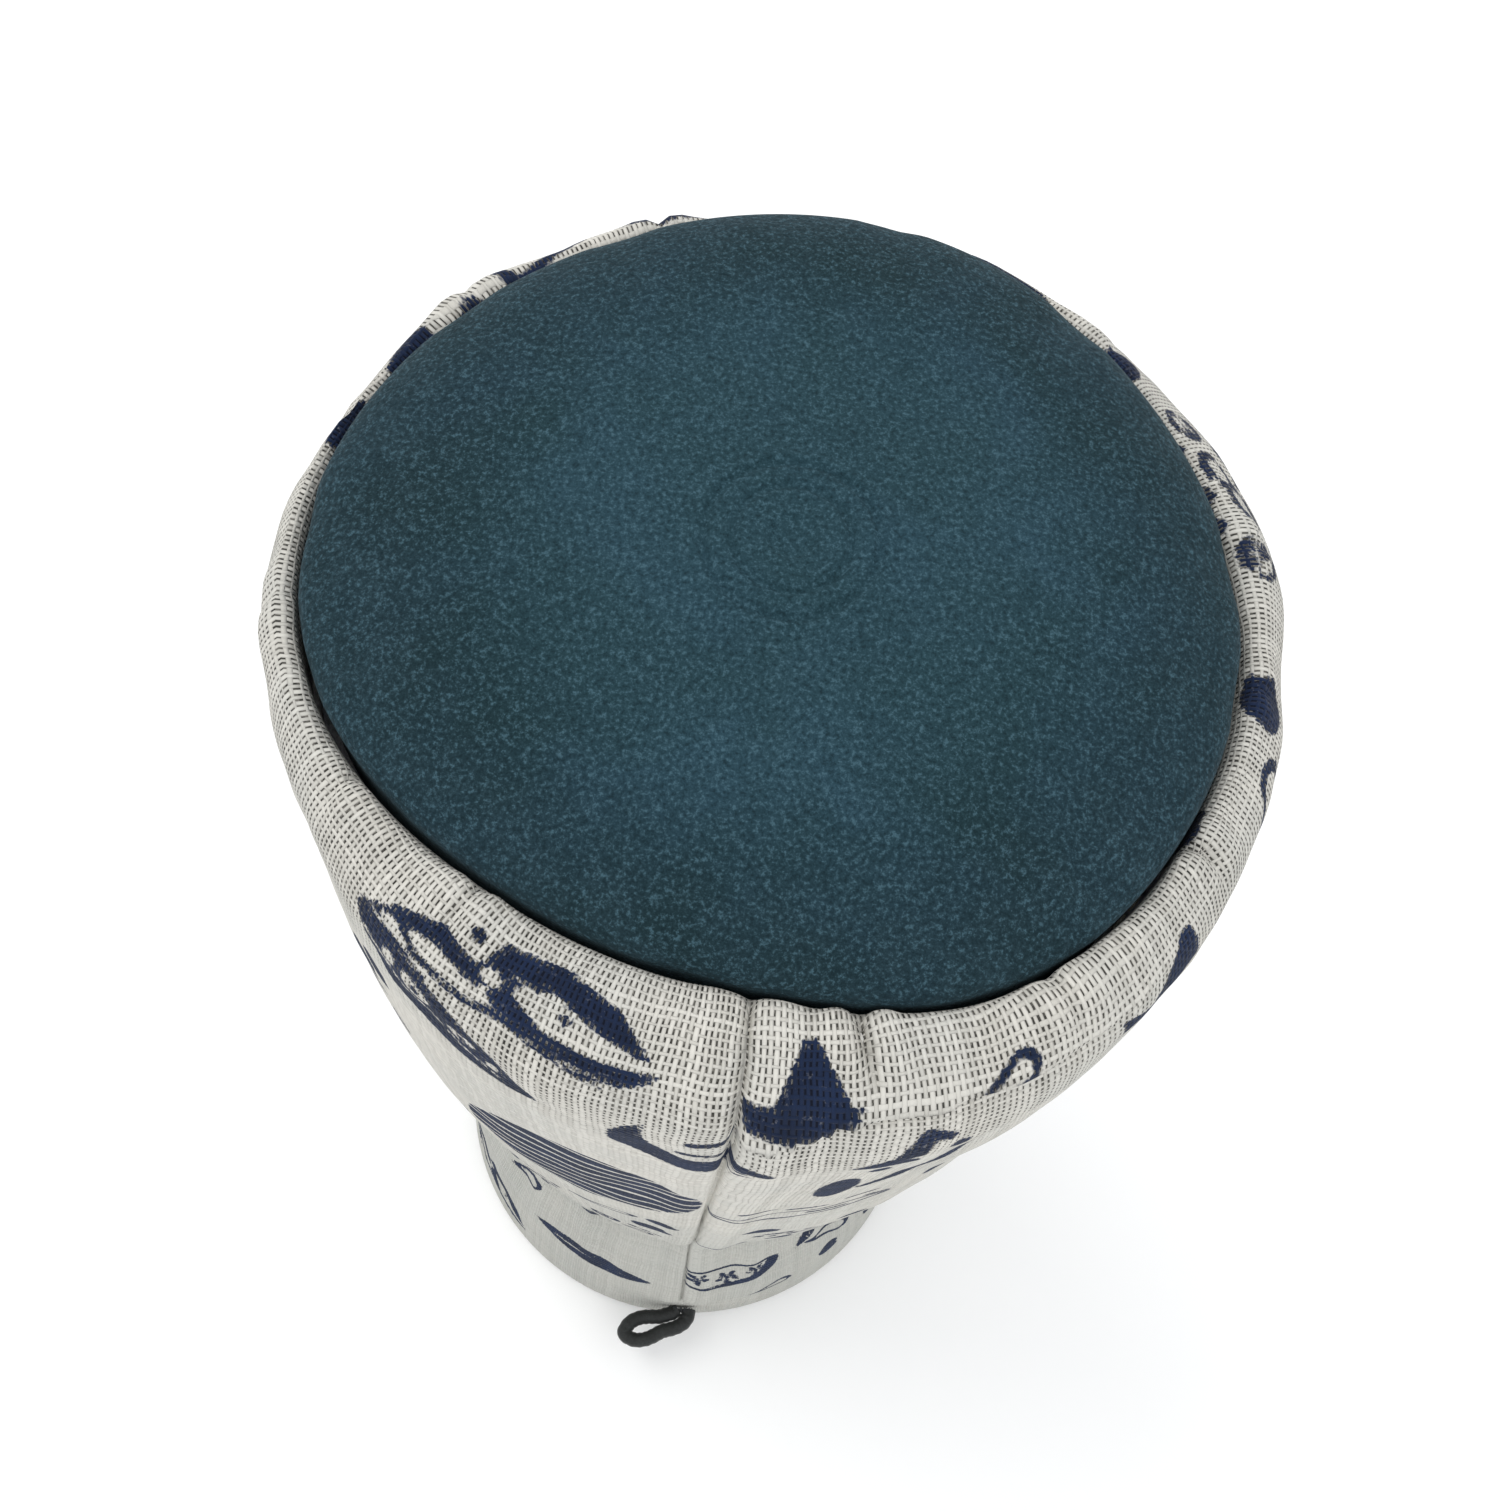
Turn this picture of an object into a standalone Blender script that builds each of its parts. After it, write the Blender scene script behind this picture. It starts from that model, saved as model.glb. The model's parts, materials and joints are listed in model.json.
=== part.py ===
"""Padded soft cover for a driver golf club: a barrel of printed cloth with a nubuck cap.

Metres, +Z up. The origin is straight under the rim's centre, in the plane that the hem
stands on, and -Y faces the side seam and its hanging loop. Every round piece is a profile
turned about Z, so the layers of the wall all come from one outer curve, wall_radius(), and
a depth inside it. A lattice then carries the hem sideways, because the soft cover leans.
"""

import math

import bmesh
import bpy
from mathutils import Vector

# Driving dimensions
RIM_RADIUS = 0.065
RIM_HEIGHT = 0.255
CAP_RISE = 0.014
CAP_RADIUS = 0.0563
CAP_BULGE_HEIGHT = 0.2585
WAIST_RADIUS = 0.046
WAIST_HEIGHT = 0.057
HEM_RADIUS = 0.0514
LOOP_REACH = 0.0132
LOOP_WIDTH = 0.0048
CORD = 0.0032

# The lean: how far the hem's centre lies from under the rim's, and where it begins
LEAN = (-0.0035, 0.0038)
LEAN_TOP = 0.239
LEAN_SPAN = 0.200

# Layers of the wall
CLOTH = 0.0010
WADDING = 0.0034
FLEECE = 0.0020
LEATHER = 0.0014
THREAD = 0.0006
GAP = 0.00035

# Smaller sizes
ELASTIC_WIDTH = 0.020
ELASTIC_THICKNESS = 0.0012
CASING_THICKNESS = 0.0006
CASING_WIDTH = 0.026
HEM_TURN_WIDTH = 0.0026
HEM_TURN_HEIGHT = 0.016
GUTTER_DEPTH = 0.012
BACKING_THICKNESS = 0.0012
WADDING_OPENING = math.radians(8)

SEGMENTS = 32
MERGE = 0.00001
SEAM_ANGLE = math.radians(-90)

# Stations of the outer curve: height and radius, from the hem up
WALL = (
    (0.000, HEM_RADIUS),
    (0.026, HEM_RADIUS - 0.0010),
    (WAIST_HEIGHT, WAIST_RADIUS),
    (0.100, 0.0528),
    (0.148, 0.0588),
    (0.194, 0.0630),
    (0.239, RIM_RADIUS),
)

# Heights that every layer of the wall has points at, so that their flats lie parallel
LEVELS = (0.016, 0.030, 0.044, 0.057, 0.070, 0.085, 0.105, 0.130, 0.160, 0.195, 0.225)
LEAST_STEP = 0.004


# ---------------------------------------------------------------- helpers


def clear_scene():
    for obj in list(bpy.data.objects):
        bpy.data.objects.remove(obj, do_unlink=True)


def add_collection(name):
    made = bpy.data.collections.new(name)
    bpy.context.scene.collection.children.link(made)
    return made


def material(name, colour, roughness):
    made = bpy.data.materials.new(name)
    made.use_nodes = True
    shader = made.node_tree.nodes["Principled BSDF"]
    shader.inputs["Base Color"].default_value = (*colour, 1.0)
    shader.inputs["Roughness"].default_value = roughness
    shader.inputs["Metallic"].default_value = 0.0
    made.diffuse_color = (*colour, 1.0)
    return made


def add_object(name, mesh, finish):
    obj = bpy.data.objects.new(name, mesh)
    obj.data.materials.append(finish)
    PARTS.objects.link(obj)
    return obj


def path_mesh(name, points, closed):
    """A mesh of edges through (radius, height) points in the XZ plane."""
    mesh = bpy.data.meshes.new(name)
    count = len(points)
    edges = [(i, i + 1) for i in range(count - 1)]
    if closed:
        edges.append((count - 1, 0))
    mesh.from_pydata([(r, 0.0, z) for r, z in points], edges, [])
    return mesh


def turn(obj, angle=math.tau):
    """Turns an edge profile about Z. The profile runs down its outer side."""
    screw = obj.modifiers.new("turn", "SCREW")
    screw.angle = angle
    screw.steps = SEGMENTS
    screw.render_steps = SEGMENTS
    screw.use_merge_vertices = angle == math.tau
    screw.merge_threshold = MERGE
    screw.use_smooth_shade = True
    return screw


def turned_solid(name, outline, finish):
    """A ring from a closed outline that goes down its outer side and up its inner one."""
    obj = add_object(name, path_mesh(name, outline, closed=True), finish)
    turn(obj)
    return obj


def turned_cap(name, outline, finish):
    """A solid of revolution whose outline starts and ends on the axis."""
    obj = add_object(name, path_mesh(name, outline, closed=False), finish)
    turn(obj)
    return obj


def turned_shell(name, path, thickness, finish, angle=math.tau):
    """A sheet: its outer face turned about Z, and its thickness put on the inside."""
    obj = add_object(name, path_mesh(name, path, closed=False), finish)
    turn(obj, angle)
    solid = obj.modifiers.new("thickness", "SOLIDIFY")
    solid.thickness = thickness
    solid.offset = -1.0
    solid.use_even_offset = True
    return obj


def turned_thread(name, radius, height, finish):
    """A round of stitching, drawn as one ring of thread."""
    half = THREAD / 2
    ring = []
    for i in range(6):
        angle = -math.tau * i / 6
        ring.append((radius + half * math.cos(angle), height + half * math.sin(angle)))
    return turned_solid(name, ring, finish)


def arc(centre, reach, start, stop, count):
    """Points of an elliptical arc: reach is (half width, half height), angles in degrees."""
    points = []
    for i in range(count):
        angle = math.radians(start + (stop - start) * i / (count - 1))
        radius = centre[0] + reach[0] * math.cos(angle)
        points.append((radius, centre[1] + reach[1] * math.sin(angle)))
    return points


def smooth_tube(name, points, diameter, finish, steps):
    """A cord through the points: a POLY spline read from a Catmull-Rom curve."""
    knots = [Vector(p) for p in points]
    knots = [2 * knots[0] - knots[1]] + knots + [2 * knots[-1] - knots[-2]]
    line = []
    for a, b, c, d in zip(knots, knots[1:], knots[2:], knots[3:]):
        for i in range(steps):
            t = i / steps
            line.append(
                0.5 * (2 * b + (c - a) * t + (2 * a - 5 * b + 4 * c - d) * t**2
                       + (3 * b - a - 3 * c + d) * t**3)
            )
    line.append(knots[-2])
    curve = bpy.data.curves.new(name, "CURVE")
    curve.dimensions = "3D"
    curve.bevel_depth = diameter / 2
    curve.bevel_resolution = 2
    curve.use_fill_caps = True
    spline = curve.splines.new("POLY")
    spline.points.add(len(line) - 1)
    for point, place in zip(spline.points, line):
        point.co = (*place, 1.0)
    return add_object(name, curve, finish)


# ---------------------------------------------------------------- the wall's curve


def wall_radius(height):
    """Outer radius of the cloth at a height: a cubic Hermite curve through WALL."""
    slopes = []
    for i in range(len(WALL)):
        low = WALL[max(i - 1, 0)]
        high = WALL[min(i + 1, len(WALL) - 1)]
        slopes.append((high[1] - low[1]) / (high[0] - low[0]))
    height = min(max(height, WALL[0][0]), WALL[-1][0])
    i = 0
    while i < len(WALL) - 2 and height > WALL[i + 1][0]:
        i += 1
    step = WALL[i + 1][0] - WALL[i][0]
    t = (height - WALL[i][0]) / step
    start = (2 * t**3 - 3 * t**2 + 1) * WALL[i][1] + (t**3 - 2 * t**2 + t) * step * slopes[i]
    end = (3 * t**2 - 2 * t**3) * WALL[i + 1][1] + (t**3 - t**2) * step * slopes[i + 1]
    return start + end


def wall_path(low, high, depth):
    """Points down the wall from high to low, at depth(height) inside the outer curve."""
    between = [level for level in LEVELS if low + LEAST_STEP < level < high - LEAST_STEP]
    heights = [high] + between[::-1] + [low]
    return [(wall_radius(height) - depth(height), height) for height in heights]


def lining_depth(height):
    """Depth of the lining's outer face: shallow in the skirt, behind the wadding above."""
    skirt = HEM_TURN_WIDTH + GAP
    barrel = CLOTH + WADDING + 2 * GAP
    blend = min(max((height - LEVELS[1]) / (LEVELS[4] - LEVELS[1]), 0.0), 1.0)
    return skirt + (barrel - skirt) * blend


def make_lean_guide():
    """A lattice box round the wall: its lower end is carried sideways, its top stays."""
    cage = bpy.data.lattices.new("lean_guide")
    cage.interpolation_type_u = "KEY_LINEAR"
    cage.interpolation_type_v = "KEY_LINEAR"
    cage.interpolation_type_w = "KEY_LINEAR"
    guide = bpy.data.objects.new("lean_guide", cage)
    guide.scale = (LEAN_SPAN, LEAN_SPAN, LEAN_TOP)
    guide.location = (0.0, 0.0, LEAN_TOP / 2)
    guide.hide_render = True
    guide.display_type = "WIRE"
    GUIDES.objects.link(guide)
    shift = Vector((LEAN[0] / LEAN_SPAN, LEAN[1] / LEAN_SPAN, 0.0))
    for point in cage.points:
        if point.co.z < 0.0:
            point.co_deform = point.co_deform + shift
    return guide


def lean(pieces):
    """Leans the pieces of the wall together, so that the gaps between them stay."""
    guide = make_lean_guide()
    for piece in pieces:
        modifier = piece.modifiers.new("lean", "LATTICE")
        modifier.object = guide


# ---------------------------------------------------------------- sub-parts

CAP_EDGE = CAP_RADIUS - 0.0013
ROLL_INNER = CAP_RADIUS + 0.0003
ROLL_CREST = (ROLL_INNER + RIM_RADIUS) / 2
ROLL_HALF = (RIM_RADIUS - ROLL_INNER) / 2
ROLL_BASE = RIM_HEIGHT - 0.010
GUTTER = RIM_HEIGHT - GUTTER_DEPTH


def make_outer_cloth(finish):
    """One panel: up the wall, over the rim roll into the gutter, and turned up at the hem."""
    roll = arc((ROLL_CREST, ROLL_BASE), (ROLL_HALF, 0.010), 180, 0, 9)
    path = [(ROLL_INNER, GUTTER)] + roll
    path += wall_path(0.004, 0.238, lambda height: 0.0)
    inner = HEM_RADIUS - HEM_TURN_WIDTH - CLOTH
    path += [(HEM_RADIUS - 0.0005, 0.0), (inner + 0.0005, 0.0), (inner, 0.0012)]
    path += [(inner, HEM_TURN_HEIGHT)]
    return turned_shell("outer_cloth", path, CLOTH, finish)


def make_rim_filler(finish):
    """Soft ring that fills the roll."""
    inset = CLOTH + GAP
    reach = (ROLL_HALF - inset, 0.010 - inset)
    outline = arc((ROLL_CREST, ROLL_BASE), reach, 180, 0, 8)
    bottom = GUTTER - 0.002
    outline += [(RIM_RADIUS - inset, bottom), (ROLL_INNER + inset, bottom)]
    return turned_solid("rim_filler", outline, finish)


def make_body_wadding(finish):
    """A sheet of wadding wrapped once round, its ends meeting either side of the seam."""
    depth = CLOTH + GAP
    path = wall_path(LEVELS[4] + 0.003, 0.2385, lambda height: depth)
    obj = turned_shell("body_wadding", path, WADDING, finish, math.tau - WADDING_OPENING)
    obj.rotation_euler = (0.0, 0.0, SEAM_ANGLE + WADDING_OPENING / 2)
    return obj


def make_lining_tube(finish):
    path = wall_path(HEM_TURN_HEIGHT + 0.0006, 0.2375, lining_depth)
    return turned_shell("lining_tube", path, FLEECE, finish)


def make_lining_top(finish):
    radius = RIM_RADIUS - CLOTH - WADDING - FLEECE
    top = GUTTER - 0.0025
    outline = [(0.0, top), (radius, top), (radius, top - FLEECE), (0.0, top - FLEECE)]
    return turned_cap("lining_top", outline, finish)


def dome(inset):
    """The cap's outer face, pulled in by inset: a low crown over a bulging side."""
    radius = CAP_RADIUS - inset
    rise = RIM_HEIGHT + CAP_RISE - CAP_BULGE_HEIGHT - inset
    points = [(0.0, CAP_BULGE_HEIGHT + rise)]
    for share in (0.28, 0.54, 0.75, 0.89, 0.97, 1.0):
        points.append((radius * share, CAP_BULGE_HEIGHT + rise * (1 - share**2.4) ** 0.55))
    points.append((radius - 0.0003, RIM_HEIGHT))
    points.append((radius - 0.0009, RIM_HEIGHT - GUTTER_DEPTH / 2))
    return points


def make_cap_leather(finish):
    path = dome(0.0) + [(CAP_EDGE, GUTTER)]
    return turned_shell("cap_leather", path, LEATHER, finish)


def make_cap_filling(finish):
    inset = LEATHER + 3 * GAP
    bottom = GUTTER + BACKING_THICKNESS + GAP
    outline = dome(inset) + [(CAP_EDGE - inset, bottom), (0.0, bottom)]
    return turned_cap("cap_filling", outline, finish)


def make_cap_backing(finish):
    radius = CAP_EDGE - LEATHER - GAP
    top = GUTTER + BACKING_THICKNESS
    outline = [(0.0, top), (radius, top), (radius, GUTTER), (0.0, GUTTER)]
    return turned_cap("cap_backing", outline, finish)


def band_outline(depth, thickness, width):
    """A flat band's section round the waist, following the wall's curve."""
    low = WAIST_HEIGHT - width / 2
    high = WAIST_HEIGHT + width / 2
    outer = wall_path(low, high, lambda height: depth)
    inner = wall_path(low, high, lambda height: depth + thickness)
    return outer + inner[::-1]


def make_elastic_casing(finish):
    """Tape that lies on the back of the cloth and holds the elastic against it."""
    return turned_solid(
        "elastic_casing", band_outline(CLOTH + GAP, CASING_THICKNESS, CASING_WIDTH), finish
    )


def make_waist_elastic(finish):
    depth = CLOTH + CASING_THICKNESS + 2 * GAP
    return turned_solid(
        "waist_elastic", band_outline(depth, ELASTIC_THICKNESS, ELASTIC_WIDTH), finish
    )


def make_cap_seam_thread(finish):
    """The stitching in the gutter that joins cap, cloth and lining."""
    radius = (CAP_EDGE + ROLL_INNER) / 2
    return turned_thread("cap_seam_thread", radius, GUTTER - 0.0012, finish)


def make_hem_thread(finish):
    radius = HEM_RADIUS - HEM_TURN_WIDTH - 2 * CLOTH - GAP - THREAD / 2
    return turned_thread("hem_thread", radius, HEM_TURN_HEIGHT - 0.003, finish)


def make_casing_thread(name, side, finish):
    """One of the two rounds of stitching, above and below the waist's elastic."""
    height = WAIST_HEIGHT + side * (CASING_WIDTH / 2 - 0.0015)
    depth = lining_depth(height) + FLEECE + GAP + THREAD / 2 + 0.0001
    return turned_thread(name, wall_radius(height) - depth, height, finish)


def make_side_seam_thread(finish):
    """The side seam's stitching, down the slot between the wadding's two ends."""
    points = []
    for i in range(9):
        height = 0.232 - (0.232 - 0.078) * i / 8
        points.append((0.0, -(wall_radius(height) - CLOTH - GAP - THREAD), height))
    return smooth_tube("side_seam_thread", points, THREAD, finish, 1)


HEM_FRONT = LEAN[1] - HEM_RADIUS
LOOP_ROOT = Vector((0.0, HEM_FRONT - 0.0025, 0.0095))
LOOP_WAY = Vector((-0.94, -0.34, 0.0)).normalized()
LOOP_ACROSS = Vector((0.0, 0.0, 1.0)).cross(LOOP_WAY)
BARTACK = (0.0046, 0.0009, 0.0042)


def make_loop_bartack(finish):
    """Bar of close stitching that holds the loop's two ends in the seam."""
    mesh = bpy.data.meshes.new("loop_bartack")
    form = bmesh.new()
    bmesh.ops.create_cube(form, size=1.0)
    bmesh.ops.scale(form, vec=BARTACK, verts=form.verts)
    form.to_mesh(mesh)
    form.free()
    obj = add_object("loop_bartack", mesh, finish)
    obj.location = (0.0, HEM_FRONT - GAP - BARTACK[1] / 2, LOOP_ROOT.z)
    bevel = obj.modifiers.new("soft_edges", "BEVEL")
    bevel.width = 0.0003
    bevel.segments = 2
    return obj


def make_hang_loop(finish):
    """Elastic cord: out of the seam, round a narrow drop shape and back beside itself."""
    leg = CORD * 0.52
    side = LOOP_WIDTH / 2
    outline = (
        (0.0030, -leg),
        (0.0050, -leg),
        (0.0072, -side * 0.92),
        (0.0094, -side),
        (0.0116, -side * 0.76),
        (LOOP_REACH, 0.0),
        (0.0116, side * 0.76),
        (0.0094, side),
        (0.0072, side * 0.92),
        (0.0050, leg),
        (0.0030, leg),
    )
    points = [LOOP_ROOT + LOOP_WAY * u + LOOP_ACROSS * v for u, v in outline]
    pivot = bpy.data.objects.new("loop_pivot", None)
    pivot.location = LOOP_ROOT
    PARTS.objects.link(pivot)
    obj = smooth_tube("hang_loop", [p - LOOP_ROOT for p in points], CORD, finish, 3)
    obj.parent = pivot
    return obj


def main():
    cloth = material("printed_cloth", (0.69, 0.68, 0.65), 0.9)
    nubuck = material("teal_nubuck", (0.030, 0.065, 0.085), 0.85)
    fleece = material("fleece", (0.62, 0.60, 0.56), 0.95)
    wadding = material("wadding", (0.80, 0.80, 0.78), 0.95)
    board = material("backing_felt", (0.45, 0.45, 0.44), 0.9)
    elastic = material("elastic_webbing", (0.75, 0.74, 0.72), 0.7)
    tape = material("casing_tape", (0.66, 0.65, 0.62), 0.85)
    thread = material("thread", (0.72, 0.71, 0.68), 0.6)
    cord = material("elastic_cord", (0.02, 0.022, 0.022), 0.6)
    wall = (
        make_outer_cloth(cloth),
        make_body_wadding(wadding),
        make_lining_tube(fleece),
        make_elastic_casing(tape),
        make_waist_elastic(elastic),
        make_hem_thread(thread),
        make_casing_thread("casing_thread_upper", 1, thread),
        make_casing_thread("casing_thread_lower", -1, thread),
        make_side_seam_thread(thread),
    )
    lean(wall)
    make_rim_filler(wadding)
    make_lining_top(fleece)
    make_cap_leather(nubuck)
    make_cap_filling(wadding)
    make_cap_backing(board)
    make_cap_seam_thread(thread)
    make_loop_bartack(thread)
    make_hang_loop(cord)


clear_scene()
PARTS = add_collection("club_head_cover")
GUIDES = add_collection("guides")
main()
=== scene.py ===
"""Looks of a padded barrel cover for a driver golf club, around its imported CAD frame.

Lengths of the cover are millimetres, which mesh_object() turns into the frame's metres; the
lights and the floor are in metres. Angles are degrees. An angle round the cover is measured
from the side seam, which faces -Y, and grows towards +X.
"""

import json
import math

import bpy
import numpy as np
from mathutils import Matrix, Vector

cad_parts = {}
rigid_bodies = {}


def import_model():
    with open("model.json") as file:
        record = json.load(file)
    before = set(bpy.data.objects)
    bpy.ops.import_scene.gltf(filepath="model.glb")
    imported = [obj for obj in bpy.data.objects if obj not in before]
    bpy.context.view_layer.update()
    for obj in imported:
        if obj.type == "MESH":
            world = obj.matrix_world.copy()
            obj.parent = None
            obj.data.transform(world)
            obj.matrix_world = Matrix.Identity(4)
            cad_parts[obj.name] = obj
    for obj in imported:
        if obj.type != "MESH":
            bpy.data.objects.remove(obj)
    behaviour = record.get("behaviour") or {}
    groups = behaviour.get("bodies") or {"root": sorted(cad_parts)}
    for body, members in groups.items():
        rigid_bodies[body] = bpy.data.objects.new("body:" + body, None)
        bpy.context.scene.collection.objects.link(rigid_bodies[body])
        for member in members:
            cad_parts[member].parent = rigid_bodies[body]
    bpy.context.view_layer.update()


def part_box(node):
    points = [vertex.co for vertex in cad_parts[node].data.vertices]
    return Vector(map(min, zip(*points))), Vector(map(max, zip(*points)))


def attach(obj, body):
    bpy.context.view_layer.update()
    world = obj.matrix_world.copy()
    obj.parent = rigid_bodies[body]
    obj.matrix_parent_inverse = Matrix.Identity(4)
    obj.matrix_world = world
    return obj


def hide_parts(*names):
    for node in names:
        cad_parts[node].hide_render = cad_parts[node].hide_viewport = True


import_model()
MM = 0.001

# The CAD's driving sizes
RIM_RADIUS = 65.0
RIM_HEIGHT = 255.0
CAP_BULGE_HEIGHT = 258.5
HEM_RADIUS = 51.4
WAIST_HEIGHT = 57.0
WALL = ((0, 51.4), (26, 50.4), (57, 46.0), (100, 52.8), (148, 58.8), (194, 63.0), (239, 65.0))
CLOTH = 1.0
WADDING = 3.4
FLEECE = 2.0
LEATHER = 1.4
GAP = 0.35
THREAD = 0.6
CORD = 3.2
CAP_TUCK = 1.3
CAP_TOP = 269.0
ROLL_BASE = 245.0
GUTTER = 243.0
HEM_TURN = 3.6
HEM_TURN_HEIGHT = 16.0
TAPE = 0.6
ELASTIC = 1.1
BAND_GAP = 0.3
LOOP_ROOT = (0.0, -50.1, 9.5)
# The hem's centre stands this far aside from under the rim's
LEAN = (-3.5, 3.8)
LEAN_TOP = 239.0

# The cap's edge in the gutter: angle from the seam and radius
RIM_OPENING = (
    (-145, 56.0), (-118, 58.2), (-95, 60.4), (-75, 60.4), (-55, 56.4), (-38, 52.8), (-20, 51.8),
    (0, 51.6), (20, 55.4), (33, 57.6), (58, 56.2), (90, 56.0), (125, 54.6), (145, 55.8), (165, 57.2),
)
# How far the roll's outer side stands out past RIM_RADIUS
RIM_BULGE = (
    (-172, -0.8), (-150, -2.2), (-126, -1.4), (-104, 0.0), (-88, 1.2), (-68, -0.2), (-52, 0.0), (-34, 1.6),
    (-12, 1.5), (6, 1.3), (28, 1.9), (48, 0.5), (70, -0.5), (88, -0.5), (108, 0.5), (132, -1.5), (152, -0.8),
)

AROUND = math.tau * RIM_RADIUS
BARREL_RADIUS = 60.0
# Path lengths down the cloth: the folds fade out where the hem's turn starts
HEM_START = 262.0
PRINT_END = 280.0
# Motifs centred nearer to the seam than this are cut off at it
SEAM_REACH = 45.0
STITCH_PITCH, STITCH_SHARE = 3.4, 0.78
SIDE_PITCH, SIDE_STITCH = 3.2, 2.5


# ---------------------------------------------------------------- numbers


def bell(x, width):
    """1 at 0, falling off smoothly to both sides."""
    return np.exp(-((x / width) ** 2))


def ramp(x, low, high):
    """0 below low, 1 above high, smooth between."""
    t = np.clip((x - low) / (high - low), 0.0, 1.0)
    return t * t * (3 - 2 * t)


def lattice(ix, iy, iz, seed):
    """A repeatable random value from -1 to 1 at each whole-numbered point."""
    h = (ix * 73856093) ^ (iy * 19349663) ^ (iz * 83492791) ^ (seed * 2654435761)
    h = h & 0xFFFFFFFF
    h = ((h ^ (h >> 15)) * 2246822519) & 0xFFFFFFFF
    h = ((h ^ (h >> 13)) * 3266489917) & 0xFFFFFFFF
    return ((h ^ (h >> 16)) & 0xFFFF) / 32767.5 - 1.0


def noise(points, size, seed):
    """Smooth noise, -1 to 1, whose bumps are about size across. points is (..., 3)."""
    p = points / size
    cell = np.floor(p).astype(np.int64)
    f = p - cell
    f = f * f * (3 - 2 * f)
    total = 0.0
    for corner in range(8):
        dx, dy, dz = corner & 1, corner >> 1 & 1, corner >> 2
        weight = (
            (f[..., 0] if dx else 1 - f[..., 0])
            * (f[..., 1] if dy else 1 - f[..., 1])
            * (f[..., 2] if dz else 1 - f[..., 2])
        )
        total = total + weight * lattice(cell[..., 0] + dx, cell[..., 1] + dy, cell[..., 2] + dz, seed)
    return total


def lumps(points, rough, size, seed):
    """Smooth dents from 0 to rough deep."""
    return rough * (0.5 + 0.5 * noise(points, size, seed))


def wrapped(u):
    """A length round the rim, from half a turn one way to half a turn the other."""
    return (u + AROUND / 2) % AROUND - AROUND / 2


def lengths_along(path):
    """The path length from the start to each point."""
    return np.concatenate([[0], np.cumsum(np.linalg.norm(np.diff(path, axis=0), axis=1))])


def around(angles, knots):
    """A smooth closed curve through (angle, value) knots."""
    grid = np.arange(-180.0, 180.0, 2.0)
    at, value = zip(*knots)
    values = np.interp(grid, at, value, period=360)
    for _ in range(3):
        values = (np.roll(values, 3) + np.roll(values, 1) + values + np.roll(values, -1)
                  + np.roll(values, -3)) / 5
    return np.interp(angles, grid, values, period=360)


def wall_radius(heights):
    """Outer radius of the cloth: the CAD's cubic Hermite curve through WALL."""
    z, r = (np.array(column, float) for column in zip(*WALL))
    slope = np.empty(len(z))
    slope[1:-1] = (r[2:] - r[:-2]) / (z[2:] - z[:-2])
    slope[0] = (r[1] - r[0]) / (z[1] - z[0])
    slope[-1] = (r[-1] - r[-2]) / (z[-1] - z[-2])
    h = np.clip(heights, z[0], z[-1])
    i = np.clip(np.searchsorted(z, h, side="right") - 1, 0, len(z) - 2)
    step = z[i + 1] - z[i]
    t = (h - z[i]) / step
    start = (2 * t**3 - 3 * t**2 + 1) * r[i] + (t**3 - 2 * t**2 + t) * step * slope[i]
    end = (3 * t**2 - 2 * t**3) * r[i + 1] + (t**3 - t**2) * step * slope[i + 1]
    return start + end


def polar(angles, radius, height):
    """Points in space from an angle round the cover, a radius and a height."""
    turn, radius, height = np.broadcast_arrays(np.radians(angles), radius, height)
    return np.stack([np.sin(turn) * radius, -np.cos(turn) * radius, height], -1)


def lean_at(heights):
    """How far the leaning cover stands aside at each height: (x, y)."""
    share = 1.0 - np.clip(np.asarray(heights, float) / LEAN_TOP, 0.0, 1.0)
    return share[..., None] * np.array(LEAN)


# ---------------------------------------------------------------- meshes


def linked(name, data):
    obj = bpy.data.objects.new(name, data)
    bpy.context.scene.collection.objects.link(obj)
    return obj


def mesh_object(name, points, faces, finish, slot, node, body="cover", leans=True):
    """A piece of the cover: a mesh with its material, riding on a CAD body in a node's place."""
    points = np.array(points, float)
    if leans:
        points[:, :2] += lean_at(points[:, 2])
    mesh = bpy.data.meshes.new(name)
    mesh.from_pydata((points * MM).tolist(), [], [list(map(int, f)) for f in faces])
    mesh.polygons.foreach_set("use_smooth", [True] * len(mesh.polygons))
    mesh.materials.append(finish)
    mesh.update()
    obj = linked(name, mesh)
    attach(obj, body)
    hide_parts(node)
    return obj


def add_value(obj, name, values):
    """One number for each vertex, which the piece's material reads by name."""
    attribute = obj.data.attributes.new(name, "FLOAT", "POINT")
    attribute.data.foreach_set("value", np.asarray(values, np.float32).ravel())


def add_uv(obj, name, uv):
    """A UV map from one (u, v) for each vertex. Faces over the wrap at the back get one side's u
    moved by a whole turn, so that none is smeared."""
    corner = np.empty(len(obj.data.loops), np.int32)
    obj.data.loops.foreach_get("vertex_index", corner)
    sizes = np.empty(len(obj.data.polygons), np.int32)
    obj.data.polygons.foreach_get("loop_total", sizes)
    face = np.repeat(np.arange(len(sizes)), sizes)
    values = uv[corner].astype(np.float32)
    highest = np.full(len(sizes), -1e9)
    np.maximum.at(highest, face, values[:, 0])
    values[highest[face] - values[:, 0] > AROUND / 2, 0] += AROUND
    obj.data.uv_layers.new(name=name).data.foreach_set("uv", values.ravel())


def ring_angles(columns):
    """Even angles once round, from the back."""
    return np.arange(columns) * 360.0 / columns - 180.0


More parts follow.
